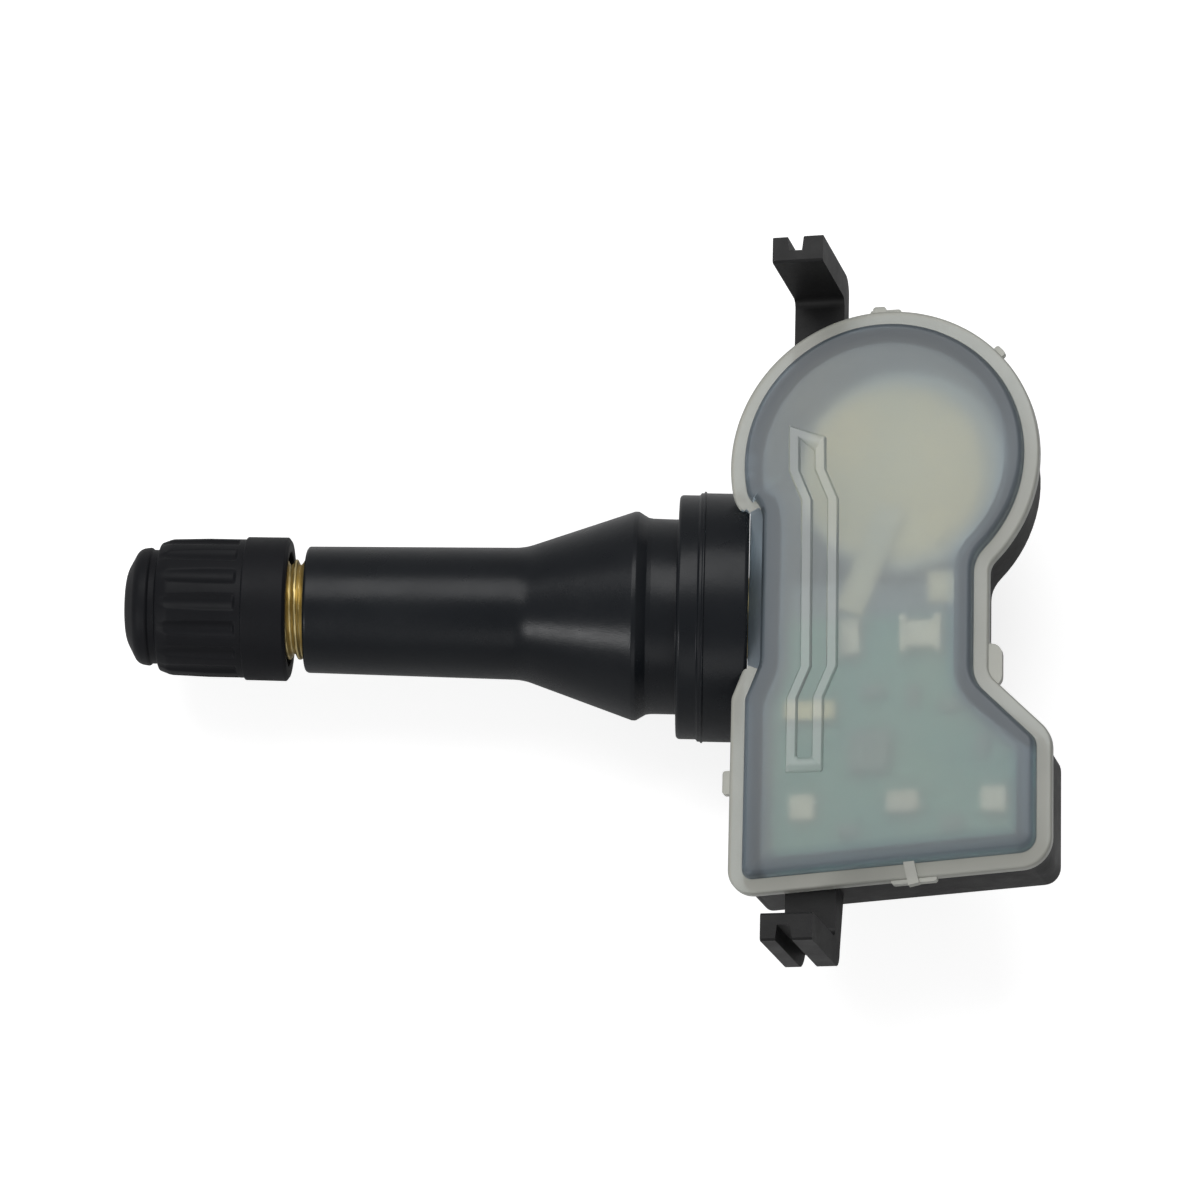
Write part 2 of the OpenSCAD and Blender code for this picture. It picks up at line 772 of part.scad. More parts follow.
module housing() {
    color([0.13, 0.13, 0.14])
    difference() {
        union() {
            body_place() {
                intersection() {
                    outline_loft([
                        [cover_lip + 1.5 * bottom_round, -housing_depth - 0.2 * bottom_round],
                        [cover_lip + 0.97 * bottom_round, -housing_depth - 0.01],
                        [cover_lip + 0.5 * bottom_round, -housing_depth + 0.13 * bottom_round],
                        [cover_lip + 0.13 * bottom_round, -housing_depth + 0.5 * bottom_round],
                        [cover_lip, -housing_depth + bottom_round],
                        [cover_lip, cut]
                    ], square_grow);
                    translate([-2 * round_r, -3 * round_r, -housing_depth])
                        cube([5 * round_r, 6 * round_r, housing_depth]);
                }
                spring_arm(arm_up, 1, round_y + round_r - arm_bury, 0);
                spring_arm(arm_low, -1, square_low + arm_bury, root_flare);
            }
            rod(boss_d, boss_front, boss_back);
        }
        housing_cavity();
        difference() {
            rod(spigot_d + 2 * spigot_gap, boss_front - cut, spigot_end + spigot_gap);
            translate([boss_front - 2 * cut, -spigot_d, spigot_d / 2 - key_depth + spigot_gap])
                cube([spigot_len + 2, 2 * spigot_d, spigot_d]);
        }
        rod(screw_d + 0.4, spigot_end, head_seat + cut);
        rod(screw_head_d + 0.5, head_seat, boss_back + cut);
        body_place() {
            translate([chip_at[0], chip_at[1], -housing_depth - cut])
                cylinder(d = port_d, h = floor_t + 2 * cut);
            for (p = pins_at)
                translate([p[0], p[1], floor_z + 0.6])
                    cylinder(d = pin_shank_d + 2 * pin_fit, h = housing_depth);
        }
    }
}

// Centre line of the rib frame on the cover, from its upper to its lower end
frame_line = [[4.6, 12.1], [4.65, 9], [5.65, 6.6], [5.75, -6.4], [4.75, -8.8], [4.75, -14.45]];
frame_tip = 0.5;
lug_sink = 0.17;

function band(half, trim) =
    let (
        n = len(frame_line),
        line = [
            for (i = [0:n - 1])
                frame_line[i] + [0, i == 0 ? -trim : i == n - 1 ? trim : 0]
        ]
    )
    concat(
        [for (i = [0:n - 1]) line[i] + [-half, i == 0 ? frame_tip : 0]],
        [for (i = [n - 1:-1:0]) line[i] + [half, i == 0 ? -frame_tip : 0]]
    );

module rib_frame(low, high) {
    translate([0, 0, low])
        linear_extrude(high - low)
            difference() {
                polygon(band(frame_half, 0));
                polygon(band(frame_half - rib_w, rib_w + 0.2));
            }
}

// Small lugs that the mould leaves on the cover's edge
module edge_lug(at, angle, w, reach) {
    translate([at[0], at[1], lug_sink])
        rotate([0, 0, angle])
            translate([-0.8, -w / 2, 0])
                cube([0.8 + reach, w, rim_t - 2 * lug_sink]);
}

module cover() {
    top = rim_t + raise_h;
    low_mid = square_low + (12.9 - square_left) * tan(low_slope);
    color([0.72, 0.76, 0.74, 0.6])
    body_place() {
        difference() {
            union() {
                linear_extrude(rim_t)
                    polygon(outline(0));
                linear_extrude(top)
                    polygon(outline(rim_w + raise_slope));
                edge_lug([round_x, round_y + round_r], 90, 2.4, 0.15);
                edge_lug([round_x - 0.5, round_y + round_r - 0.05], 90, 1, 0.5);
                edge_lug([round_x + round_r * cos(43), round_y + round_r * sin(43)], 43, 0.9, 0.4);
                edge_lug([square_left, -14.8], 180, 1.8, 0.55);
                edge_lug([12.9, low_mid], low_slope - 90, 3.4, 0.35);
                edge_lug([neck_right, -6.4], 0, 1.6, 1.05);
            }
            translate([0, 0, -1])
                linear_extrude(1 + top - raise_t)
                    polygon(outline(inner_inset + cover_clear));
            rotate([0, body_tilt, 0])
                translate([-body_x, 0, -body_z])
                    rod(flange_d + 2 * flange_gap, 0, flange_t + flange_gap);
        }
        rib_frame(top - 0.2, top + rib_h);
        translate([12.5, low_mid - 0.1, rim_t - gate_h / 2])
            linear_extrude(gate_h)
                polygon([[-0.15, 0], [0.65, 0.1], [0.35, gate_len], [-0.5, gate_len - 0.1]]);
    }
}

module board_outline(inset) {
    difference() {
        intersection() {
            polygon(outline(inset));
            translate([-round_r, square_low])
                square([3 * round_r, board_end - square_low]);
        }
        translate([battery_x, battery_y])
            circle(d = battery_d + 2 * (cradle_gap + cradle_wall) + 0.4);
    }
}

module circuit_board() {
    color([0.25, 0.42, 0.36])
    body_place()
    difference() {
        translate([0, 0, board_under])
            linear_extrude(board_t)
                board_outline(board_inset);
        for (p = pins_at)
            translate([p[0], p[1], board_under - cut])
                cylinder(d = pin_shank_d + 2 * pin_fit, h = board_t + 2 * cut);
    }
}

module battery() {
    r = battery_d / 2;
    rim_in = 1;
    crimp = 0.25;
    color([0.78, 0.76, 0.7])
    body_place()
    translate([battery_x, battery_y, 0])
        rotate_extrude()
            polygon([
                [0, battery_low],
                [r - 0.4, battery_low],
                [r - 0.1, battery_low + 0.1],
                [r, battery_low + 0.4],
                [r, battery_top - 0.6],
                [r - 0.15, battery_top - 0.3],
                [r - rim_in + 0.25, battery_top - 0.2],
                [r - rim_in, battery_top - crimp - 0.2],
                [r - rim_in - 0.15, battery_top - crimp],
                [r - rim_in - 0.4, battery_top],
                [0, battery_top]
            ]);
}

module battery_strap_minus() {
    turn = 22;
    on_can = 4.5;
    off_can = 4.2;
    color([0.8, 0.79, 0.76])
    body_place()
        translate([battery_x - 2.3, battery_y - battery_d / 2 + 0.8, board_top])
            rotate([0, 0, -turn])
                translate([-strap_w / 2, -off_can, 0])
                    cube([strap_w, off_can + on_can, strap_t]);
}

module battery_strap_plus() {
    low = battery_low - strap_t;
    edge = battery_y - battery_d / 2;
    under = battery_d / 2 - cradle_open - 0.2;
    stand = 0.5;
    on_board = 2.6;
    color([0.8, 0.79, 0.76])
    body_place()
        translate([battery_x + 2.2, 0, 0])
            rotate([90, 0, 90])
                linear_extrude(strap_w)
                    polygon([
                        [edge + under, low],
                        [edge + under, battery_low],
                        [edge - stand + strap_t, battery_low],
                        [edge - stand + strap_t, board_top + strap_t],
                        [edge - on_board, board_top + strap_t],
                        [edge - on_board, board_top],
                        [edge - stand, board_top],
                        [edge - stand, low]
                    ]);
}

module pressure_chip() {
    chip_low = board_under - chip_t;
    color([0.1, 0.1, 0.11])
    body_place()
    difference() {
        slab([6, 5, chip_t], chip_at, chip_low);
        translate([chip_at[0], chip_at[1], chip_low - cut])
            cylinder(d = port_d, h = 0.8 + cut);
    }
}

module port_seal() {
    chip_low = board_under - chip_t;
    color([0.2, 0.2, 0.22])
    body_place()
    translate([chip_at[0], chip_at[1], floor_z])
        difference() {
            cylinder(d = seal_d, h = chip_low - floor_z);
            translate([0, 0, -cut])
                cylinder(d = port_d, h = chip_low - floor_z + 2 * cut);
        }
}

module antenna_coil() {
    core_h = 1.4;
    flange_w = 0.5;
    size = [3.1, 2.8];
    color([0.8, 0.76, 0.66])
    body_place()
    union() {
        slab([size[0] - 0.4, size[1] - 0.8, core_h - 0.2], coil_at, board_top);
        for (side = [-1, 1])
            slab([flange_w, size[1], core_h],
                coil_at + [side * (size[0] - flange_w) / 2, 0], board_top);
    }
}

module crystal() {
    size = [1.9, 3.1, 0.9];
    color([0.8, 0.79, 0.76])
    body_place()
    union() {
        slab([size[0], size[1], 0.4], crystal_at, board_top);
        slab([size[0] - 0.3, size[1] - 0.3, size[2]], crystal_at, board_top);
    }
}

module radio_antenna() {
    span = 3.9;
    leg_h = 0.9;
    strip_t = 0.3;
    strip_w = 1.4;
    color([0.75, 0.66, 0.45])
    body_place()
    difference() {
        slab([span, strip_w, leg_h], antenna_at, board_top);
        translate([0, 0, board_top - cut])
            translate([antenna_at[0] - span / 2 + strip_t, antenna_at[1] - strip_w, 0])
                cube([span - 2 * strip_t, 2 * strip_w, leg_h - strip_t + cut]);
    }
}

// Small soldered parts: centre across, centre along, width, length, height
small_parts = [
    [11.8, -16.4, 2.4, 1.6, 0.9],
    [9.4, -7.8, 1.6, 0.8, 0.6],
    [12.4, -8.2, 0.8, 1.6, 0.6],
    [15.2, -9, 1.6, 0.8, 0.6],
    [9.2, -12.4, 3, 3, 0.9],
    [17.6, -12.2, 0.8, 1.6, 0.6],
    [7.6, -18.4, 1.6, 0.8, 0.6],
    [15.4, -18, 1.6, 0.8, 0.6]
];

module chip_parts() {
    color([0.55, 0.5, 0.42])
    body_place()
        for (p = small_parts)
            slab([p[2], p[3], p[4]], [p[0], p[1]], board_top);
}

module board_pins() {
    color([0.82, 0.8, 0.74])
    body_place()
        for (p = pins_at) {
            slab([pin_head_w, pin_head_w, pin_head_t], p, board_top);
            translate([p[0], p[1], board_under - 1.6])
                cylinder(d = pin_shank_d, h = board_t + 1.7);
        }
}

valve_cap();
cap_seal();
valve_stem();
core_barrel();
core_gasket();
core_pin();
core_cup();
core_spring();
valve_rubber();
fixing_screw();
housing();
cover();
circuit_board();
battery();
battery_strap_minus();
battery_strap_plus();
pressure_chip();
port_seal();
antenna_coil();
crystal();
radio_antenna();
chip_parts();
board_pins();
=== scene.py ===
import math
import bmesh
import bpy
import numpy as np
from mathutils import Matrix, Vector


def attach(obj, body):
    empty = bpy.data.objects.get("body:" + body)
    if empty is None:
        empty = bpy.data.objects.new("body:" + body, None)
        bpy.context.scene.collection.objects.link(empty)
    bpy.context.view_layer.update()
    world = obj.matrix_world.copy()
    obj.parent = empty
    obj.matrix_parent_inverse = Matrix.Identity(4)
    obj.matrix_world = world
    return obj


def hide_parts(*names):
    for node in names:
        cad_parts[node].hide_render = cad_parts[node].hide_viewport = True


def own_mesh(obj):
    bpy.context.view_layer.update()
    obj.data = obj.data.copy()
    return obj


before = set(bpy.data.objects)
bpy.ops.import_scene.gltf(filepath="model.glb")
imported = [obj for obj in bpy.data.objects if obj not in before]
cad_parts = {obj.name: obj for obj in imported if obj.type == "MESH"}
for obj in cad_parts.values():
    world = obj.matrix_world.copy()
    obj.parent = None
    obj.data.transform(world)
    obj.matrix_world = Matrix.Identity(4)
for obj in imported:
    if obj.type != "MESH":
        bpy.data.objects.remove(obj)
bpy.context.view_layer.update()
scene = bpy.context.scene
mm = 0.001
print("frame loaded,", len(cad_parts), "nodes")


# making meshes

def gridQuads(rows, cols, wrapRows=False, wrapCols=True):
    # the four corner numbers of every cell between neighbouring rows and columns
    r = np.arange(rows if wrapRows else rows - 1)
    c = np.arange(cols if wrapCols else cols - 1)
    r0, c0 = np.meshgrid(r, c, indexing="ij")
    r1, c1 = (r0 + 1) % rows, (c0 + 1) % cols
    corners = [r0 * cols + c0, r0 * cols + c1, r1 * cols + c1, r1 * cols + c0]
    return np.stack(corners, axis=-1).reshape(-1, 4)


def makeMesh(name, points, quads, caps=(), finishes=None):
    # finishes holds the number of the material for each face, where a piece has several
    mesh = bpy.data.meshes.new(name)
    mesh.from_pydata((points.reshape(-1, 3) * mm).tolist(), [], quads.tolist() + [list(c) for c in caps])
    if finishes is not None:
        mesh.polygons.foreach_set("material_index", finishes)
    work = bmesh.new()
    work.from_mesh(mesh)
    bmesh.ops.remove_doubles(work, verts=work.verts, dist=2e-7)
    bmesh.ops.recalc_face_normals(work, faces=work.faces)
    work.to_mesh(mesh)
    work.free()
    piece = bpy.data.objects.new(name, mesh)
    scene.collection.objects.link(piece)
    return piece


def weldedCopy(name, node):
    # the construction's own shape with its loose triangles joined and its flat faces made whole
    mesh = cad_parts[node].data.copy()
    mesh.name = name
    mesh.materials.clear()
    work = bmesh.new()
    work.from_mesh(mesh)
    bmesh.ops.remove_doubles(work, verts=work.verts, dist=1e-6)
    bmesh.ops.dissolve_limit(work, angle_limit=math.radians(0.4), verts=work.verts, edges=work.edges)
    bmesh.ops.connect_verts_nonplanar(work, angle_limit=math.radians(0.2), faces=work.faces)
    bmesh.ops.connect_verts_concave(work, faces=work.faces)
    work.to_mesh(mesh)
    work.free()
    piece = bpy.data.objects.new(name, mesh)
    scene.collection.objects.link(piece)
    return piece


def joinSolids(base, extras, operation="UNION"):
    for extra in extras:
        step = base.modifiers.new("join", "BOOLEAN")
        step.operation = operation
        step.object = extra
        step.solver = "EXACT"
    bpy.context.view_layer.update()
    graph = bpy.context.evaluated_depsgraph_get()
    joined = bpy.data.meshes.new_from_object(base.evaluated_get(graph))
    base.modifiers.clear()
    base.data = joined
    for extra in extras:
        bpy.data.objects.remove(extra)
    return base


def filleted(corners, steps=5):
    # each corner (x, y, radius) of a line becomes an arc that touches both of its sides and takes up
    # no more than half of either; a corner that is nearly straight stays a point
    line = []
    for i, (x, y, radius) in enumerate(corners):
        here = np.array([x, y], float)
        if radius <= 0 or i in (0, len(corners) - 1):
            line.append(here[None])
            continue
        back = np.array(corners[i - 1][:2], float) - here
        on = np.array(corners[i + 1][:2], float) - here
        reach = min(np.linalg.norm(back), np.linalg.norm(on)) * 0.49
        back, on = back / np.linalg.norm(back), on / np.linalg.norm(on)
        half = math.acos(float(np.clip(back @ on, -1, 1))) / 2
        if half > math.radians(88):
            line.append(here[None])
            continue
        cutBack = min(radius / math.tan(half), reach)
        r = cutBack * math.tan(half)
        middle = here + (back + on) / np.linalg.norm(back + on) * (r / math.sin(half))
        a, b = here + back * cutBack - middle, here + on * cutBack - middle
        t = np.linspace(0, 1, steps + 1)[:, None]
        swing = math.pi - 2 * half
        arc = (np.sin((1 - t) * swing) * a + np.sin(t * swing) * b) / math.sin(swing)
        line.append(middle + arc)
    return np.concatenate(line)


def turned(name, line, columns, shape=None, wrapRows=False):
    # a point (x, r) of the line goes round the valve axis: y = r cos a, z = r sin a
    angle = np.arange(columns) * 2 * math.pi / columns
    x = np.repeat(line[:, 0][:, None], columns, axis=1)
    r = np.repeat(line[:, 1][:, None], columns, axis=1)
    if shape is not None:
        x, r = shape(x, r, np.repeat(angle[None], len(line), axis=0))
    points = np.stack([x, r * np.cos(angle), r * np.sin(angle)], axis=-1)
    return makeMesh(name, points, gridQuads(len(line), columns, wrapRows))


def finishPiece(piece, body, nodes, material, edge=0.0, smoothAngle=34):
    # edge is the width of the rounding in millimetres; no material keeps those that the piece has
    if material is not None:
        piece.data.materials.clear()
        piece.data.materials.append(material)
    piece.data.shade_smooth()
    piece.data.set_sharp_from_angle(angle=math.radians(smoothAngle))
    if edge > 0:
        rounding = piece.modifiers.new("edge", "BEVEL")
        rounding.width = edge * mm
        rounding.segments = 2
        rounding.limit_method = "ANGLE"
        rounding.angle_limit = math.radians(smoothAngle)
        rounding.harden_normals = True
        rounding.use_clamp_overlap = True
    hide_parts(*nodes)
    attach(piece, body)
    return piece


# making materials

def noiseField(tree, place, scale, detail=3.0, rough=0.5, stretch=None):
    # noise in object coordinates, scale in repeats a millimetre
    noise = tree.nodes.new("ShaderNodeTexNoise")
    noise.inputs["Scale"].default_value = scale * 1000
    noise.inputs["Detail"].default_value = detail
    noise.inputs["Roughness"].default_value = rough
    if stretch is None:
        tree.links.new(place, noise.inputs["Vector"])
    else:
        mapping = tree.nodes.new("ShaderNodeMapping")
        mapping.inputs["Scale"].default_value = stretch
        tree.links.new(place, mapping.inputs["Vector"])
        tree.links.new(mapping.outputs["Vector"], noise.inputs["Vector"])
    return noise.outputs["Fac"]


def spreadOf(tree, source, low, high, fromLow=0.3, fromHigh=0.7):
    # noise keeps near its middle, so fromLow to fromHigh of it is spread over low to high
    change = tree.nodes.new("ShaderNodeMapRange")
    change.inputs["From Min"].default_value = fromLow
    change.inputs["From Max"].default_value = fromHigh
    change.inputs["To Min"].default_value = low
    change.inputs["To Max"].default_value = high
    tree.links.new(source, change.inputs["Value"])
    return change.outputs["Result"]


def blendOf(tree, factor, first, second):
    # first and second are colours or sockets
    blend = tree.nodes.new("ShaderNodeMix")
    blend.data_type = "RGBA"
    for value, socket in ((first, blend.inputs[6]), (second, blend.inputs[7])):
        if isinstance(value, tuple):
            socket.default_value = (*value[:3], 1.0)
        else:
            tree.links.new(value, socket)
    tree.links.new(factor, blend.inputs[0])
    return blend.outputs[2]


def bumpOf(tree, height, depth, before=None):
    # depth is the height of the relief in millimetres
    bump = tree.nodes.new("ShaderNodeBump")
    bump.inputs["Strength"].default_value = 1.0
    bump.inputs["Distance"].default_value = depth * mm
    tree.links.new(height, bump.inputs["Height"])
    if before is not None:
        tree.links.new(before, bump.inputs["Normal"])
    return bump.outputs["Normal"]


def newMaterial(name, look):
    material = bpy.data.materials.new(name)
    material.use_nodes = True
    tree = material.node_tree
    shader = tree.nodes["Principled BSDF"]
    for socket, value in look.items():
        shader.inputs[socket].default_value = value
    place = tree.nodes.new("ShaderNodeTexCoord").outputs["Object"]
    return material, tree, shader, place


def mouldedFinish(name, dark, light, roughness, grain, grainDepth, patch=0.12, specular=0.5):
    # moulded surface: cloudy tone, fine grain, patches that are duller than others
    material, tree, shader, place = newMaterial(name, {"Specular IOR Level": specular})
    cloud = noiseField(tree, place, patch, 5.0, 0.6)
    tree.links.new(blendOf(tree, spreadOf(tree, cloud, 0.0, 1.0), dark, light), shader.inputs["Base Color"])
    tree.links.new(spreadOf(tree, noiseField(tree, place, patch * 2.3, 6.0, 0.65), roughness[0], roughness[1]),
                   shader.inputs["Roughness"])
    fine = bumpOf(tree, noiseField(tree, place, grain, 2.0), grainDepth)
    tree.links.new(bumpOf(tree, noiseField(tree, place, grain * 0.12, 3.0), grainDepth * 1.5, fine),
                   shader.inputs["Normal"])
    return material


def turnedMetal(name, dark, light, roughness, lines=9.0, depth=0.004, across=(1.0, 0.02, 0.02)):
    # turned metal: fine tool lines round the valve axis and a tone that drifts
    material, tree, shader, place = newMaterial(name, {"Metallic": 1.0})
    drift = noiseField(tree, place, 0.35, 4.0, 0.6)
    tree.links.new(blendOf(tree, spreadOf(tree, drift, 0.0, 1.0), dark, light), shader.inputs["Base Color"])
    tool = noiseField(tree, place, lines, 2.0, 0.5, across)
    tree.links.new(spreadOf(tree, tool, roughness[0], roughness[1]), shader.inputs["Roughness"])
    tree.links.new(bumpOf(tree, tool, depth), shader.inputs["Normal"])
    return material


# name, dark and light tone, range of roughness, grain in repeats a millimetre, depth of the grain
capFinish = mouldedFinish("capPlastic", (0.0056, 0.0060, 0.0074), (0.0094, 0.0098, 0.0118), (0.44, 0.56),
                          9.0, 0.006, specular=0.10)
rubberFinish = mouldedFinish("valveRubber", (0.0050, 0.0062, 0.0084), (0.0086, 0.0102, 0.0126), (0.25, 0.35),
                             11.0, 0.006, specular=0.18)
housingFinish = mouldedFinish("housingPlastic", (0.0075, 0.0075, 0.0080), (0.013, 0.013, 0.013), (0.4, 0.54),
                              7.0, 0.009, specular=0.2)
softRubberFinish = mouldedFinish("softRubber", (0.02, 0.02, 0.021), (0.035, 0.035, 0.036), (0.5, 0.7), 9.0, 0.006)
redSealFinish = mouldedFinish("redSeal", (0.36, 0.05, 0.035), (0.5, 0.09, 0.06), (0.4, 0.55), 9.0, 0.004)
chipFinish = mouldedFinish("chipPlastic", (0.018, 0.018, 0.019), (0.03, 0.03, 0.03), (0.45, 0.6), 12.0, 0.004)
pinFinish = mouldedFinish("pinPlastic", (0.70, 0.62, 0.48), (0.80, 0.73, 0.60), (0.35, 0.5), 6.0, 0.004)
brassFinish = turnedMetal("brass", (0.46, 0.36, 0.15), (0.66, 0.54, 0.27), (0.36, 0.5))
steelFinish = turnedMetal("steel", (0.50, 0.50, 0.51), (0.70, 0.69, 0.68), (0.22, 0.4))
rolled = {"lines": 6.0, "depth": 0.003, "across": (1, 1, 0.1)}
strapFinish = turnedMetal("nickelStrip", (0.46, 0.40, 0.28), (0.58, 0.51, 0.38), (0.34, 0.5), **rolled)
antennaFinish = turnedMetal("antennaStrip", (0.56, 0.46, 0.26), (0.76, 0.66, 0.42), (0.28, 0.42), **rolled)
canFinish = turnedMetal("canMetal", (0.52, 0.47, 0.38), (0.66, 0.61, 0.52), (0.34, 0.5), **rolled)
coilFinish = mouldedFinish("coilBlock", (0.70, 0.62, 0.47), (0.80, 0.73, 0.60), (0.4, 0.6), 6.0, 0.004)
print("finishes ready")


# screw cap

capShape = {
    "mouth": -29.75, "length": 12.65, "collar": 11.04, "collarLength": 3.4, "grip": 10.64,
    "nose": 9.1, "noseLength": 2.7, "flutes": 16, "fluteDepth": 0.3, "fluteRadius": 0.95,
    "fluteSoft": 0.05, "fluteColumns": 22,
    "bore": 7.84, "mouthBore": 8.8, "mouthDepth": 1.6, "sealBack": -39.65,
}


def capPiece(s):
    tip = s["mouth"] - s["length"]
    grip0, grip1 = tip + s["noseLength"], s["mouth"] - s["collarLength"]
    nose, grip, collar = s["nose"] / 2, s["grip"] / 2, s["collar"] / 2
    inner = s["bore"] / 2
    line = filleted([
        (tip, 0, 0), (tip + 0.1, nose - 1.9, 2.5), (tip + 1.05, nose - 0.12, 1.1), (grip0 - 0.78, nose, 0.3),
        (grip0 - 0.6, nose - 0.17, 0.12), (grip0 - 0.12, nose - 0.17, 0.12), (grip0, grip - 0.42, 0.25),
        (grip0 + 0.85, grip - 0.1, 1.2), (grip0 + 3.7, grip, 3), (grip1, grip, 0.06),
        (grip1 + 0.05, collar - 0.02, 0.12),
        (s["mouth"] - 0.22, collar, 0.12), (s["mouth"], collar - 0.3, 0.1), (s["mouth"], s["mouthBore"] / 2, 0.12),
        (s["mouth"] - s["mouthDepth"], s["mouthBore"] / 2, 0.05), (s["mouth"] - s["mouthDepth"] - 0.4, inner, 0),
        (s["sealBack"], inner, 0), (s["sealBack"], 0, 0),
    ], 6)
    # rows are added along the grip so that the flutes can fade in and out
    outer = np.argmax(line[:, 0] > grip1 - 0.2)
    start = np.argmax(line[:, 0] > grip0 + 0.9)
    extra = np.concatenate([np.linspace(grip0 + 0.9, grip1 - 0.75, 14), np.linspace(grip1 - 0.7, grip1 - 0.3, 9)])
    wall = np.interp(extra, line[:outer + 1, 0], line[:outer + 1, 1])
    middle = np.concatenate([np.stack([extra, wall], 1), line[start:outer]])
    middle = middle[np.argsort(middle[:, 0])]
    line = np.concatenate([line[:start], middle, line[outer:]])
    rowOuter = np.arange(len(line)) < start + len(middle)

    def fluted(x, r, a):
        # inside a flute the wall is the near side of a rod that lies along the axis:
        # r = R cos d - sqrt(q^2 - R^2 sin^2 d), with d the angle from the flute's middle
        q, step = s["fluteRadius"], 2 * math.pi / s["flutes"]
        big = grip - s["fluteDepth"] + q
        d = (a % step) - step / 2
        under = q * q - (big * np.sin(d)) ** 2
        rod = np.where(under > 0, big * np.cos(d) - np.sqrt(np.maximum(under, 0)), np.inf)
        fade = np.clip((grip1 - 0.35 - x) / 0.3, 0, 1)
        fade = fade * fade * (3 - 2 * fade)
        # the flute's edge is rounded: depth = sqrt(depth^2 + soft^2) - soft
        depth, soft = np.maximum(r - rod, 0), s["fluteSoft"]
        depth = np.where(depth > 0, np.sqrt(depth * depth + soft * soft) - soft, 0)
        on = rowOuter[:, None] & (x > grip0 - 0.05)
        return x, np.where(on, r - depth * fade, r)

    return turned("screwCap", line, s["flutes"] * s["fluteColumns"], fluted)


finishPiece(capPiece(capShape), "cap", ["valve_cap"], capFinish, smoothAngle=50)
print("cap ready")


# rubber valve body

rubberShape = {
    "reach": 28.5, "tip": 9.65, "neck": 10.1, "coneLength": 8.5, "bulge": 16.1, "flank": 1.0, "groove": 14.95,
    "grooveWidth": 2.3, "front": 18.7, "back": 19.05, "thick": 5.35, "parting": 1.95, "partingHeight": 0.1,
    "threadHole": 7.7, "shankHole": 6.4, "footHole": 10.8, "footFrom": 1.2, "footTo": 3.4, "spigotHole": 6.2,
    "beadWidth": 0.09, "tornHeight": 0.022, "seamTurn": 0.35, "seamWidth": 0.011, "seamHeight": 0.035,
    "seamFloor": 4.7, "columns": 360,
}


def rubberPiece(s):
    bulgeX = -s["grooveWidth"] - s["flank"]
    coneX = bulgeX - s["coneLength"]
    bore, shank, foot, spigot = s["threadHole"] / 2, s["shankHole"] / 2, s["footHole"] / 2, s["spigotHole"] / 2
    line = filleted([
        (-s["reach"], bore, 0), (-s["reach"], s["tip"] / 2, 0.28), (coneX, s["neck"] / 2, 4.5),
        (bulgeX - 0.1, s["bulge"] / 2 - 0.06, 0.35), (bulgeX + 0.2, s["bulge"] / 2 - 0.06, 0.3),
        (-s["grooveWidth"] - 0.05, s["groove"] / 2 + 0.06, 0.22), (-s["grooveWidth"] + 0.3, s["groove"] / 2, 0.1),
        (0, s["groove"] / 2, 0.12), (0, s["front"] / 2, 0.3), (s["parting"] - 0.42, s["front"] / 2, 0.12),
        (s["parting"] - 0.3, s["back"] / 2, 0.1), (s["parting"] - 0.1, s["back"] / 2, 0.04),
        (s["parting"] - 0.05, s["back"] / 2 + s["partingHeight"], 0.03),
        (s["parting"] + 0.06, s["back"] / 2 + s["partingHeight"], 0.03), (s["parting"] + 0.12, s["back"] / 2, 0.04),
        (s["thick"], s["back"] / 2, 0.32), (s["thick"], spigot, 0), (s["footTo"], spigot, 0), (s["footTo"], foot, 0),
        (s["footFrom"], foot, 0), (s["footFrom"] - 0.8, shank, 0), (-s["reach"] + 1.1, shank, 0),
        (-s["reach"] + 0.5, bore, 0),
    ], 6)

    def moulded(x, r, a):
        # the parting bead is torn a little: height sin(37 a + 2.1 sin 5 a) where sin(3 a + 0.7) is above 0;
        # two faint mould seams lie opposite each other, each height exp(-(d / width)^2) at an angle d from it
        bead = np.exp(-((x - s["parting"]) / s["beadWidth"]) ** 2) * (r > s["back"] / 2 + 0.04)
        torn = s["tornHeight"] * np.sin(37 * a + 2.1 * np.sin(5 * a)) * np.maximum(np.sin(3 * a + 0.7), 0)
        off = (a - s["seamTurn"]) % math.pi
        seam = s["seamHeight"] * (np.exp(-(off / s["seamWidth"]) ** 2)
                                  + np.exp(-((math.pi - off) / s["seamWidth"]) ** 2))
        seamed = (r > s["seamFloor"]) & (x > -s["reach"] + 0.1) & (x < -0.2)
        return x, r + bead * torn + seam * seamed

    return turned("rubberBody", line, s["columns"], moulded, wrapRows=True)


finishPiece(rubberPiece(rubberShape), "sensor", ["valve_rubber"], rubberFinish, smoothAngle=50)
print("rubber ready")


# threaded brass stem

stemShape = {
    "tip": -38.0, "thread": 7.7, "pitch": 0.794, "threadDepth": 0.42, "threadFlat": 0.14, "threadFade": 0.5,
    "threadEnd": -28.5, "turnRows": 14,
    "shank": 6.4, "foot": 10.8, "footFrom": 1.2, "footTo": 3.4, "spigot": 6.2, "end": 12.6,
    "screwHole": 3.56, "screwFloor": 7.4, "airEnd": 6.2, "airHole": 2.4, "coreHole": 3.9, "chamber": 5.3,
    "coreEnd": -21.0, "chamberEnd": -31.4, "columns": 128,
}


